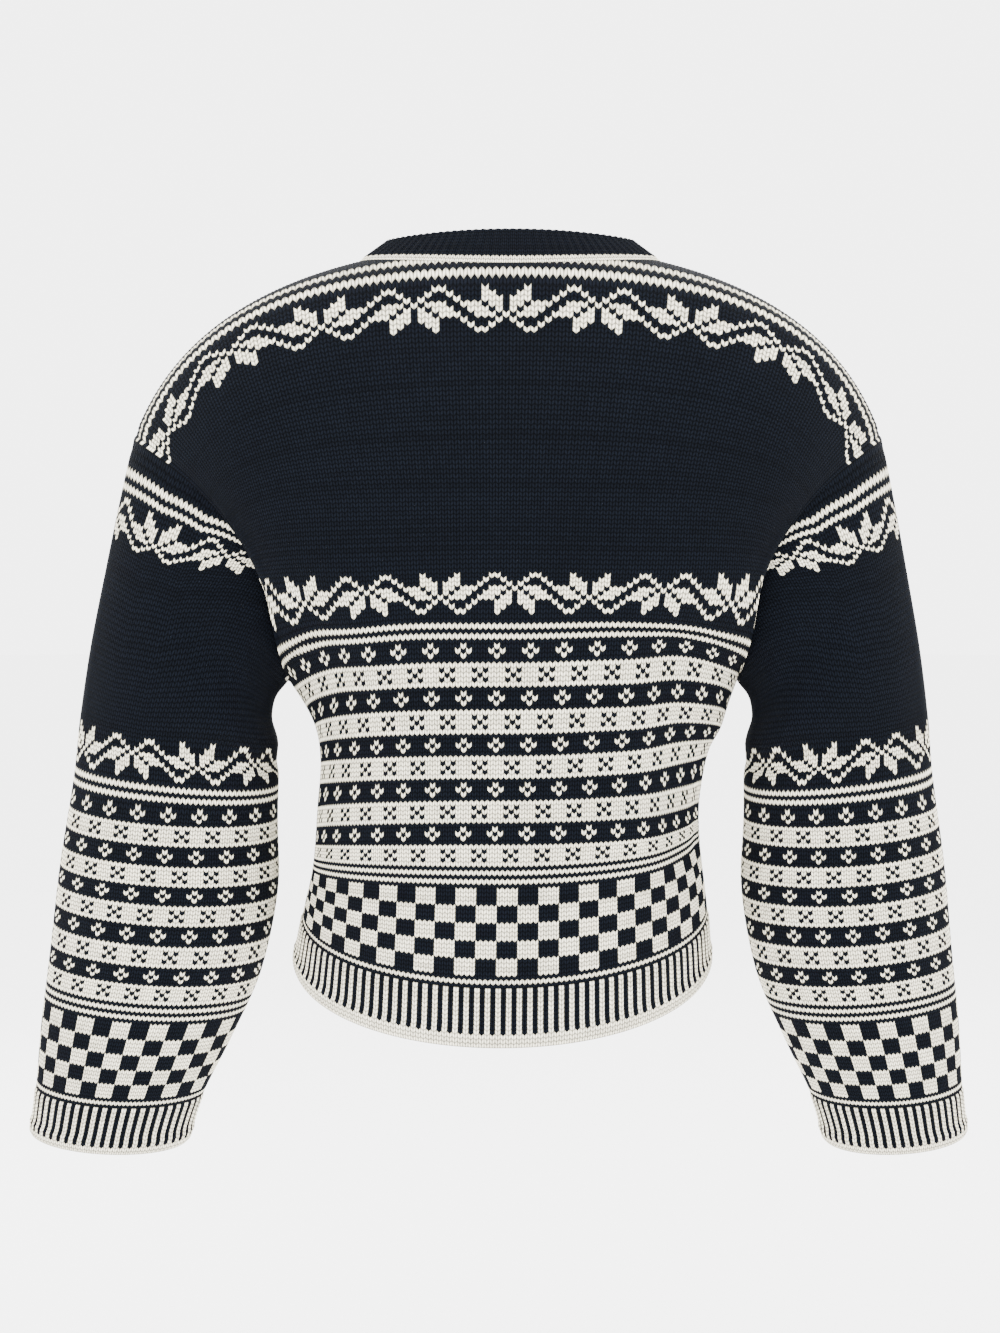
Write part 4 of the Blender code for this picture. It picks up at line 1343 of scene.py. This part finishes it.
@dataclass(frozen=True)
class WoolFinish:
    """Knitted wool in two colours, with painted shade in the gaps between stitches."""

    name: str
    dark: Colour = (0.0026, 0.0036, 0.0062, 1.0)
    cream: Colour = (0.820, 0.765, 0.600, 1.0)
    # Painted shade: the darkest share that the colour falls to in the gaps between stitches, and the span of
    # the mask of the gaps that it spreads over.
    shadow: float = 0.16
    gap_shade_span: Span = (0.10, 0.80)
    stitch_tone: float = 0.86
    stitch_tone_reach: float = 0.22
    dark_rows: Span = (0.0, 0.25)
    dark_row_tone: float = 0.80
    shade_tones: Span = (0.94, 1.06)
    fuzz_tones: Span = (0.90, 1.10)
    fuzz_height: float = 0.25
    plies: float = 3.0
    relief: float = 0.0005
    roughness: float = 0.88
    sheen: float = 0.015
    sheen_roughness: float = 0.45
    specular: float = 0.03

    def build(self, stitch_relief: bpy.types.NodeTree, wool_fibre: bpy.types.NodeTree) -> bpy.types.Material:
        """Makes the material.

        Args:
            stitch_relief: The group of single stitches.
            wool_fibre: The group of fibres.

        Returns:
            The material.
        """
        constants = {
            "Roughness": self.roughness,
            "Sheen Weight": self.sheen,
            "Sheen Roughness": self.sheen_roughness,
            "Specular IOR Level": self.specular,
        }
        material, shader, nodes = new_material(self.name, constants)
        where = nodes.add("ShaderNodeUVMap", uv_map="stitches")
        place = nodes.add("ShaderNodeTexCoord")
        yarn = nodes.add("ShaderNodeAttribute", attribute_name="yarn")
        stitch = nodes.add("ShaderNodeGroup", node_tree=stitch_relief)
        nodes.feed(stitch.inputs["Stitches"], where.outputs["UV"])
        nodes.feed(stitch.inputs["Plies"], self.plies)
        fibre = nodes.add("ShaderNodeGroup", node_tree=wool_fibre)
        nodes.feed(fibre.inputs["Place"], place.outputs["Object"])
        colour = nodes.blend(yarn.outputs["Fac"], self.dark, self.cream)
        tone = nodes.maths("MULTIPLY_ADD", stitch.outputs["Tone"], self.stitch_tone_reach, self.stitch_tone)
        # The last factor is painted shade, darker towards the gaps between stitch legs and rows; the others
        # are random tones of the yarn.
        for value, source, target in (
            (stitch.outputs["Row tone"], self.dark_rows, (self.dark_row_tone, 1.0)),
            (fibre.outputs["Shade"], NOISE_SPAN, self.shade_tones),
            (fibre.outputs["Fuzz"], NOISE_SPAN, self.fuzz_tones),
            (stitch.outputs["Gap shade"], self.gap_shade_span, (self.shadow, 1.0)),
        ):
            tone = nodes.times(tone, nodes.spread(value, source, target))
        grey = nodes.add("ShaderNodeCombineColor")
        for socket in grey.inputs:
            nodes.feed(socket, tone)
        nodes.feed(shader.inputs["Base Color"], nodes.blend(1.0, colour, grey.outputs[0], "MULTIPLY"))
        bump = nodes.add("ShaderNodeBump")
        bump.inputs["Distance"].default_value = self.relief
        fuzz, height = fibre.outputs["Fuzz"], stitch.outputs["Height"]
        nodes.feed(bump.inputs["Height"], nodes.maths("MULTIPLY_ADD", fuzz, self.fuzz_height, height))
        nodes.feed(shader.inputs["Normal"], bump.outputs[0])
        material.diffuse_color = self.dark
        return material


@dataclass(frozen=True)
class HornFinish:
    """Polished dark horn for the buttons."""

    name: str = "dark horn"
    dark: Colour = (0.0060, 0.0050, 0.0050, 1.0)
    light: Colour = (0.0220, 0.0160, 0.0130, 1.0)
    stretch: Vector = (1.0, 1.0, 0.25)
    streaks: float = 260.0
    detail: float = 5.0
    light_span: Span = (0.4, 0.7)
    roughness: Span = (0.38, 0.55)
    specular: float = 0.22

    def build(self) -> bpy.types.Material:
        """Makes the material.

        Returns:
            The material.
        """
        material, shader, nodes = new_material(self.name, {"Specular IOR Level": self.specular})
        place = nodes.add("ShaderNodeTexCoord")
        mapping = nodes.add("ShaderNodeMapping")
        mapping.inputs["Scale"].default_value = self.stretch
        nodes.feed(mapping.inputs["Vector"], place.outputs["Object"])
        streak = nodes.noise(mapping.outputs[0], self.streaks, self.detail)
        colour = nodes.blend(nodes.spread(streak, self.light_span, (0.0, 1.0)), self.dark, self.light)
        nodes.feed(shader.inputs["Base Color"], colour)
        nodes.feed(shader.inputs["Roughness"], nodes.spread(streak, NOISE_SPAN, self.roughness))
        material.diffuse_color = self.dark
        return material


def dress(knit: Knit, finish: bpy.types.Material) -> bpy.types.Object:
    """Makes a cloth piece, fastens it to its body, hides the solid that it stands for and logs its stitches
    and rows.

    Args:
        knit: The piece, named for the solid that it stands for.
        finish: The piece's own material.

    Returns:
        The new object.
    """
    made = knit.build(finish)
    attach(made, "root")
    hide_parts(knit.name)
    log.info("%s: %d stitches, %d rows", knit.name, round(np.ptp(knit.stitches)), len(knit.rows) - 1)
    return made


def body_rows(rows: np.ndarray, stitches: np.ndarray, side: Side) -> np.ndarray:
    """The height along the cloth of knitted rows above the rib, at stitches out from the centre line."""
    lift = read_table(EDGE_LIFTS[side], rows)
    return read_table(BODY_ROW_MARKS, rows) + lift * (stitches / BODY_STITCHES) ** 2


def rib_rows(rows: np.ndarray, stitches: np.ndarray, side: Side) -> np.ndarray:
    """The height along the cloth of the rib's rows, counted down from the panel, alike on both sides."""
    return BODY_ROW_MARKS[0][1] * (1.0 + rows / RIB_ROWS)


@dataclass
class BodyPanels:
    """The back, the two fronts and the ribs of the hem."""

    finish: bpy.types.Material
    rib_finish: bpy.types.Material
    rows: int = 160
    band_stitch: float = 0.0040
    neck_margin: float = 0.0004

    def columns(self, first: float) -> np.ndarray:
        """Stitch places of the columns of a half, out from the centre or the button band."""
        return np.arange(math.ceil(first * STEPS), BODY_STITCHES * STEPS + 1) / STEPS

    def half(
        self, face: Face, side: Side, stitches: np.ndarray, rows: np.ndarray, heights: RowHeights
    ) -> HalfPanel:
        """Works out one half of a panel or of a rib.

        Args:
            face: Back or front.
            side: The wearer's side.
            stitches: The columns, as stitches out from the centre line.
            rows: The rows, from the top of the rib.
            heights: Gives the height of a row along the cloth.

        Returns:
            Its points, with their directions and limits.
        """
        surface = BodySurface(face, side)
        shift = row_shift(stitches if side is Side.LEFT else -stitches, rows)
        top = surface.neck_rise(stitches)
        rise = np.clip(heights(rows[:, None] + shift, stitches[None, :], side), 0.0, surface.top)
        over = rise >= top[None, :] - self.neck_margin
        limits = np.where(over.any(axis=0), over.argmax(axis=0), len(rows) - 1)
        rise = np.minimum(rise, top[None, :])
        # A panel ends at the neck opening or the shoulder, and a rib at its own last row
        rise[limits, np.arange(len(stitches))] = top if rows[-1] > 0 else rise[-1]
        points, normals = surface.stitch_points(stitches, rise)
        return HalfPanel(points, normals, limits)

    def knit(self, name: str, face: Face, rib: bool) -> Knit:
        """Works out a panel or the rib under it.

        Args:
            name: Its name, which ends in left or right for a front.
            face: Back or front.
            rib: True for the rib.

        Returns:
            The piece.
        """
        rows = np.arange(-RIB_ROWS, 1.0) if rib else np.arange(0.0, self.rows + 1)
        heights = rib_rows if rib else body_rows
        if face is Face.BACK:
            out = self.columns(0.0)
            left = self.half(face, Side.LEFT, out, rows, heights)
            right = self.half(face, Side.RIGHT, out, rows, heights)
            points = np.concatenate([right.points[:, :0:-1], left.points], axis=1)
            normals = np.concatenate([right.normals[:, :0:-1], left.normals], axis=1)
            limits = np.concatenate([right.limits[:0:-1], left.limits])
            stitches = np.concatenate([-out[:0:-1], out])
        else:
            side = Side.LEFT if name.endswith("left") else Side.RIGHT
            out = self.columns(BAND_EDGE / self.band_stitch)
            points, normals, limits = self.half(face, side, out, rows, heights)
            points[:, 0, 0] = math.copysign(BAND_EDGE, points[0, 1, 0])
            stitches = out if side is Side.LEFT else -out
        if rib:
            relief = rib_relief(stitches, rows)
            return Knit(name, points, normals, stitches, rows, relief, rib_pattern, rim_colour=1.0)
        across = leg_relief(stitches) - seam_dip(BODY_STITCHES - np.abs(stitches))
        relief = np.ones((len(rows), 1)) * across[None, :]
        return Knit(name, points, normals, stitches, rows, relief, body_pattern, limits=limits)

    def build(self) -> list[bpy.types.Object]:
        """Makes the three panels and their ribs.

        Returns:
            The new objects.
        """
        made = []
        for name, face in (("back", Face.BACK), ("front_left", Face.FRONT), ("front_right", Face.FRONT)):
            rib_name = "hem_rib_" + name.removeprefix("front_")
            made.append(dress(self.knit(name, face, rib=False), self.finish))
            made.append(dress(self.knit(rib_name, face, rib=True), self.rib_finish))
        return made


@dataclass
class Sleeves:
    """A sleeve and its cuff on each side."""

    finish: bpy.types.Material
    rib_finish: bpy.types.Material
    stitches: int = 112
    rows: int = 143
    cuff_stitches: int = 96
    cuff_rows: int = 12
    armhole_margin: float = 0.004

    def columns(self, around: int) -> np.ndarray:
        """Stitch places of the columns, from the inner line over the front, the outer line and the back."""
        return np.arange(-around * STEPS // 2, around * STEPS // 2) / STEPS

    def sleeve(self, side: Side) -> Knit:
        """Works out a sleeve, with its rows up from the cuff to the armhole.

        Args:
            side: The wearer's side.

        Returns:
            The piece.
        """
        surface = SleeveSurface(side)
        stitches = self.columns(self.stitches)
        rows = np.arange(-float(self.rows), 1.0)
        angles = surface.stitch_angles(stitches, read_table(SLEEVE_ROW_MARKS, -rows), self.stitches)
        down = -rows[:, None] - row_shift(stitches, rows)
        slip = read_table(SLIP_ANGLES, np.abs(angles)) * read_table(SLIP_ROWS, down)
        place = read_table(SLEEVE_ROW_MARKS, down) - slip
        over = place <= self.armhole_margin
        limits = np.where(over.any(axis=0), over.argmax(axis=0), len(rows) - 1)
        place = np.maximum(place, 0.0)
        place[limits, np.arange(len(stitches))] = 0.0
        points, normals = surface.points(angles, place)
        below = np.maximum(limits[None, :] - np.arange(len(rows))[:, None], 0.0)
        relief = leg_relief(stitches)[None, :] * ease(below) - seam_dip(below)
        name = f"sleeve_{side.value}"
        return Knit(name, points, normals, stitches, rows, relief, sleeve_pattern, self.stitches, limits)

    def cuff(self, side: Side) -> Knit:
        """Works out a cuff, with its rows up from its edge.

        Args:
            side: The wearer's side.

        Returns:
            The piece.
        """
        surface = SleeveSurface(side)
        stitches = self.columns(self.cuff_stitches)
        rows = np.arange(-float(self.cuff_rows), 1.0)
        shifted = rows[:, None] + row_shift(stitches, rows)
        place = CUFF_RING - (LAST_RING - CUFF_RING) * shifted / self.cuff_rows
        even = CUFF_RING - (LAST_RING - CUFF_RING) * rows / self.cuff_rows
        points, normals = surface.points(surface.stitch_angles(stitches, even, self.cuff_stitches), place)
        relief = rib_relief(stitches, rows)
        around, name = self.cuff_stitches, f"cuff_{side.value}"
        return Knit(name, points, normals, stitches, rows, relief, rib_pattern, around, rim_colour=1.0)

    def build(self) -> list[bpy.types.Object]:
        """Makes both sleeves and cuffs.

        Returns:
            The new objects.
        """
        made = []
        for side in Side:
            made.append(dress(self.sleeve(side), self.finish))
            made.append(dress(self.cuff(side), self.rib_finish))
        return made


@dataclass
class NeckBand:
    """The ribbed band that stands on the neck opening."""

    finish: bpy.types.Material
    stitch: float = 0.0033
    rows: int = 10
    rib: float = 0.0007
    leg_share: float = 0.5
    reach: float = 40.0
    line_points: int = 161
    top_half_width: float = 0.091
    top_back: float = 0.044
    top_front: float = 0.071
    top_back_z: float = 0.0215
    top_side_z: float = 0.0155
    top_front_z: float = -0.0460

    def top(self, base: np.ndarray) -> np.ndarray:
        """Finds the top edge.

        Args:
            base: Points of the neck opening.

        Returns:
            The points of the top edge above them.
        """
        x, y = base[:, 0], base[:, 1]
        depth = np.where(y >= 0, NECK_BACK, NECK_FRONT)
        length = np.hypot(x / NECK_HALF_WIDTH, y / depth)
        cosine, sine = x / NECK_HALF_WIDTH / length, y / depth / length
        end = np.where(y >= 0, self.top_back_z, self.top_front_z)
        reach = np.where(y >= 0, self.top_back, self.top_front)
        height = self.top_side_z + (end - self.top_side_z) * sine**2
        return np.stack([self.top_half_width * cosine, reach * sine, height], axis=-1)

    def neckline(self) -> np.ndarray:
        """Finds the neck opening from the left band round the back to the right band.

        Returns:
            Its points.
        """
        runs = []
        out = np.linspace(0.0, self.reach, self.line_points)
        for face, side, turn in (
            (Face.FRONT, Side.LEFT, 1),
            (Face.BACK, Side.LEFT, -1),
            (Face.BACK, Side.RIGHT, 1),
            (Face.FRONT, Side.RIGHT, -1),
        ):
            surface = BodySurface(face, side)
            rise = surface.neck_rise(out)
            points, _ = surface.stitch_points(out, rise[None, :])
            runs.append(points[0][rise < surface.top - TINY][::turn])
        line = np.concatenate(runs)
        return line[(np.abs(line[:, 0]) >= BAND_EDGE) | (line[:, 1] > 0)]

    def build(self) -> bpy.types.Object:
        """Makes the band.

        Returns:
            The new object.
        """
        line = self.neckline()
        run = lengths_along(line)
        count = 2 * round(run[-1] / self.stitch / 2)
        stitches = np.arange(0, count * STEPS + 1) / STEPS
        base = points_along(line, run, stitches / count * run[-1])
        top = self.top(base)
        rows = np.arange(0.0, self.rows + 1)
        part = np.clip((rows[:, None] + row_shift(stitches, rows)) / self.rows, 0.0, 1.0)[..., None]
        points = base[None] * (1.0 - part) + top[None] * part
        across = np.gradient(points, axis=1)
        upward = np.broadcast_to((top - base)[None], points.shape)
        normals = unit(np.cross(across, upward))
        points[:, 0, 0], points[:, -1, 0] = BAND_EDGE, -BAND_EDGE
        relief = self.rib * rib_wave(stitches, BAND_SHARPNESS)[None, :] * ease(rows - 1.0)[:, None]
        relief = relief + self.leg_share * leg_relief(stitches)[None, :]
        knit = Knit("neckband", points, normals, stitches, rows, relief, foot_pattern)
        return dress(knit, self.finish)


@dataclass
class ButtonBands:
    """The two ribbed bands down the centre front."""

    finish: bpy.types.Material
    stitches: int = 10
    half_width: float = 0.0150
    rib: float = 0.0007
    path_points: int = 150
    tail_points: int = 9

    def path(self) -> np.ndarray:
        """Finds the centre front from the hem to the top of the neckband.

        Returns:
            Its points.
        """
        surface = BodySurface(Face.FRONT, Side.LEFT)
        centre = np.zeros(1)
        end = surface.neck_rise(centre)[0]
        rises = np.linspace(0.0, end, self.path_points)
        points, _ = surface.stitch_points(centre, rises[:, None])
        path = points[:, 0]
        tail = NeckBand(self.finish).top(path[-1:])
        steps = np.linspace(0.0, 1.0, self.tail_points)[1:, None]
        return np.concatenate([path, path[-1:] * (1 - steps) + tail * steps])

    def band(self, name: str, sunk: float, rib: float) -> Knit:
        """Works out one band.

        Args:
            name: Its name.
            sunk: How deep it lies under the outer band's face.
            rib: The height of its ribs.

        Returns:
            The piece.
        """
        path = self.path()
        stitches = np.arange(0, self.stitches * STEPS + 1) / STEPS
        rows = np.arange(0.0, len(path))
        points = points_along(path, rows, rows[:, None] + row_shift(stitches, rows))
        points[..., 0] = ((stitches / self.stitches * 2.0 - 1.0) * self.half_width)[None, :]
        normal = unit(np.cross(np.array([1.0, 0.0, 0.0]), np.gradient(path, axis=0)))
        normals = np.broadcast_to(normal[:, None, :], points.shape)
        points = points - normals * sunk
        relief = rib * rib_wave(stitches, -BAND_SHARPNESS)[None, :] * np.ones((len(rows), 1))
        return Knit(name, points, normals, stitches, rows, relief, dark_pattern)

    def build(self) -> list[bpy.types.Object]:
        """Makes the outer band and the one under it.

        Returns:
            The new objects.
        """
        outer = self.band("button_band_right", 0.0, self.rib)
        under = self.band("button_band_left", WALL + SEAM_GAP, 0.0)
        return [dress(knit, self.finish) for knit in (outer, under)]


@dataclass
class Buttons:
    """Round buttons with four holes, down the outer band."""

    finish: bpy.types.Material
    thread_finish: bpy.types.Material
    count: int = 7
    radius: float = 0.0090
    height: float = 0.0034
    sides: int = 48
    rim_share: float = 0.26
    slope_share: float = 0.10
    dish_share: float = 0.24
    bevel_share: float = 0.20
    bevel_segments: int = 3
    hole_reach: float = 0.0017
    hole_radius: float = 0.0008
    hole_sides: int = 16
    cutter_share: float = 3.0
    thread_radius: float = 0.00045
    thread_sides: int = 10
    thread_level: float = 0.76
    thread_step: float = 1.2

    def shape(self) -> bpy.types.Object:
        """Models one button, lying flat with its foot at the origin.

        Returns:
            The button.
        """
        bpy.ops.object.select_all(action="DESELECT")
        bpy.ops.mesh.primitive_cylinder_add(
            vertices=self.sides, radius=self.radius, depth=self.height, location=(0.0, 0.0, self.height / 2)
        )
        made = bpy.context.object
        bpy.ops.object.transform_apply(location=True, rotation=True, scale=True)
        bpy.ops.object.mode_set(mode="EDIT")
        bpy.ops.mesh.select_all(action="DESELECT")
        bpy.ops.object.mode_set(mode="OBJECT")
        for face in made.data.polygons:
            face.select = face.normal.z > FACING_UP
        bpy.ops.object.mode_set(mode="EDIT")
        bpy.ops.mesh.inset(thickness=self.radius * self.rim_share, depth=0.0)
        bpy.ops.mesh.inset(thickness=self.radius * self.slope_share, depth=-self.height * self.dish_share)
        bpy.ops.object.mode_set(mode="OBJECT")
        bevel = made.modifiers.new("edges", "BEVEL")
        bevel.width = self.height * self.bevel_share
        bevel.segments = self.bevel_segments
        bevel.limit_method = "ANGLE"
        bpy.ops.object.modifier_apply(modifier=bevel.name)
        for place in self.hole_places():
            self.drill(made, place)
        return made

    def hole_places(self) -> list[tuple[float, float]]:
        """The four holes, from the button's middle."""
        return [(x * self.hole_reach, y * self.hole_reach) for x in (-1.0, 1.0) for y in (-1.0, 1.0)]

    def drill(self, made: bpy.types.Object, place: tuple[float, float]) -> None:
        """Cuts one hole through the button.

        Args:
            made: The button, lying flat.
            place: The hole's middle.
        """
        bpy.ops.object.select_all(action="DESELECT")
        bpy.ops.mesh.primitive_cylinder_add(
            vertices=self.hole_sides,
            radius=self.hole_radius,
            depth=self.height * self.cutter_share,
            location=(*place, self.height / 2),
        )
        cutter = bpy.context.object
        cut = made.modifiers.new("hole", "BOOLEAN")
        cut.operation = "DIFFERENCE"
        cut.object = cutter
        select_only(made)
        bpy.ops.object.modifier_apply(modifier=cut.name)
        bpy.data.objects.remove(cutter, do_unlink=True)

    def threads(self) -> bpy.types.Object:
        """Models the sewing thread, two crossed stitches through the holes.

        Returns:
            The thread.
        """
        bpy.ops.object.select_all(action="DESELECT")
        length = 2.0 * math.sqrt(2.0) * self.hole_reach
        level = self.height * self.thread_level
        strands = []
        for turn in (45.0, 135.0):
            bpy.ops.mesh.primitive_cylinder_add(
                vertices=self.thread_sides,
                radius=self.thread_radius,
                depth=length,
                location=(0.0, 0.0, level),
                rotation=(math.radians(90.0), 0.0, math.radians(turn)),
            )
            strands.append(bpy.context.object)
            level += self.thread_radius * self.thread_step
        for strand in strands:
            strand.select_set(True)
        bpy.ops.object.join()
        bpy.ops.object.transform_apply(location=True, rotation=True, scale=True)
        return bpy.context.object

    def build(self, path: np.ndarray) -> list[bpy.types.Object]:
        """Copies the button and its thread to their places down the band.

        Args:
            path: Points of the centre front.

        Returns:
            The new objects.
        """
        run = lengths_along(path)
        model = self.shape()
        thread = self.threads()
        made = []
        for index in range(self.count):
            name = f"button_{index + 1}"
            low, high = (np.array(corner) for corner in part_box(name))
            middle = (low + high) / 2
            at = np.interp(middle[2], path[:, 2], run)
            up = unit(points_along(path, run, at + self.radius) - points_along(path, run, at - self.radius))
            side = np.array([1.0, 0.0, 0.0])
            normal = unit(np.cross(side, up))
            foot = middle - normal * self.height / 2
            turn = np.stack([side, up, normal], axis=1)
            made.append(self.place(model, f"{name}_horn", turn, foot, self.finish))
            made.append(self.place(thread, f"{name}_thread", turn, foot, self.thread_finish))
            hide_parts(name)
            log.info("button %s", name)
        bpy.data.objects.remove(model, do_unlink=True)
        bpy.data.objects.remove(thread, do_unlink=True)
        return made

    def place(
        self,
        model: bpy.types.Object,
        name: str,
        turn: np.ndarray,
        foot: np.ndarray,
        finish: bpy.types.Material,
    ) -> bpy.types.Object:
        """Copies a model to a place on the band.

        Args:
            model: What is copied, lying flat with its foot at the origin.
            name: The copy's name.
            turn: Its three directions as columns.
            foot: The point that it stands on.
            finish: Its material.

        Returns:
            The copy.
        """
        copy = model.copy()
        copy.data = model.data.copy()
        copy.name = name
        points = np.array([vertex.co for vertex in copy.data.vertices]) @ turn.T + foot
        copy.data.vertices.foreach_set("co", points.astype(np.float32).reshape(-1))
        copy.data.materials.clear()
        copy.data.materials.append(finish)
        bpy.context.scene.collection.objects.link(copy)
        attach(copy, "root")
        smooth(copy)
        return copy


class Lamp(NamedTuple):
    """A soft square light: its name, place, size and power."""

    name: str
    place: Vector
    size: float
    power: float


LAMPS = (
    Lamp("key", (1.6, 3.0, 1.2), 1.8, 95.0),
    Lamp("fill", (-1.9, 2.6, 0.6), 1.8, 60.0),
    Lamp("front key", (-1.6, -3.0, 1.2), 1.8, 90.0),
    Lamp("front fill", (1.9, -2.6, 0.4), 1.8, 55.0),
    Lamp("top", (0.0, 0.0, 2.4), 2.0, 40.0),
)


def aim(thing: bpy.types.Object, target: Vector) -> None:
    """Turns a light or camera to face a point.

    Args:
        thing: The light or camera.
        target: The point.
    """
    away = np.array(target) - np.array(thing.location)
    level = math.hypot(away[0], away[1])
    heading = math.atan2(away[1], away[0]) - math.pi / 2
    thing.rotation_euler = (math.atan2(level, -away[2]), 0.0, heading)


@dataclass
class Studio:
    """A plain pale floor, soft light and the camera."""

    floor_z: float = -1.25
    floor_radius: float = 14.0
    floor_sides: int = 64
    floor_colour: Colour = (0.94, 0.94, 0.94, 1.0)
    floor_roughness: float = 0.9
    garment_middle: Vector = (0.0, 0.0, -0.3)
    surroundings: Colour = (1.0, 1.0, 1.0, 1.0)
    surroundings_strength: float = 5.0
    camera_place: Vector = (0.0075, 2.2, -0.139)
    camera_target: Vector = (0.0075, 0.0, -0.301)
    sensor: float = 36.0
    lens: float = 79.4

    def floor(self) -> None:
        """Lays the floor."""
        bpy.ops.object.select_all(action="DESELECT")
        bpy.ops.mesh.primitive_circle_add(
            vertices=self.floor_sides,
            radius=self.floor_radius,
            fill_type="NGON",
            location=(0.0, 0.0, self.floor_z),
        )
        ground = bpy.context.object
        ground.name = "floor"
        constants = {"Base Color": self.floor_colour, "Roughness": self.floor_roughness}
        material, _, _ = new_material("pale floor", constants)
        ground.data.materials.append(material)

    def light(self, lamp: Lamp) -> None:
        """Adds a light that faces the garment.

        Args:
            lamp: Its name, place, size and power.
        """
        data = bpy.data.lights.new(lamp.name, "AREA")
        data.size = lamp.size
        data.energy = lamp.power
        made = bpy.data.objects.new(lamp.name, data)
        made.location = lamp.place
        aim(made, self.garment_middle)
        bpy.context.scene.collection.objects.link(made)

    def camera(self) -> None:
        """Sets up the camera at the photograph's angle."""
        data = bpy.data.cameras.new("camera")
        data.sensor_fit = "VERTICAL"
        data.sensor_height = self.sensor
        data.lens = self.lens
        camera = bpy.data.objects.new("camera", data)
        camera.location = self.camera_place
        aim(camera, self.camera_target)
        bpy.context.scene.collection.objects.link(camera)
        bpy.context.scene.camera = camera

    def build(self) -> None:
        """Sets up the floor, the lights and the camera."""
        self.floor()
        for lamp in LAMPS:
            self.light(lamp)
        world = bpy.data.worlds.new("studio")
        world.use_nodes = True
        background = world.node_tree.nodes["Background"]
        background.inputs["Color"].default_value = self.surroundings
        background.inputs["Strength"].default_value = self.surroundings_strength
        bpy.context.scene.world = world
        self.camera()


def main() -> None:
    """Builds the studio and every piece of the garment."""
    logging.basicConfig(level=logging.INFO)
    Studio().build()
    stitch_relief, wool_fibre = stitch_group(), fibre_group()
    patterned = WoolFinish("patterned knit").build(stitch_relief, wool_fibre)
    plain = WoolFinish("plain rib", shadow=0.12).build(stitch_relief, wool_fibre)
    striped = WoolFinish("striped rib").build(stitch_relief, wool_fibre)
    BodyPanels(patterned, striped).build()
    Sleeves(patterned, striped).build()
    NeckBand(plain).build()
    bands = ButtonBands(plain)
    bands.build()
    Buttons(HornFinish().build(), plain).build(bands.path())
    bpy.context.view_layer.update()


if __name__ == "__main__":
    main()
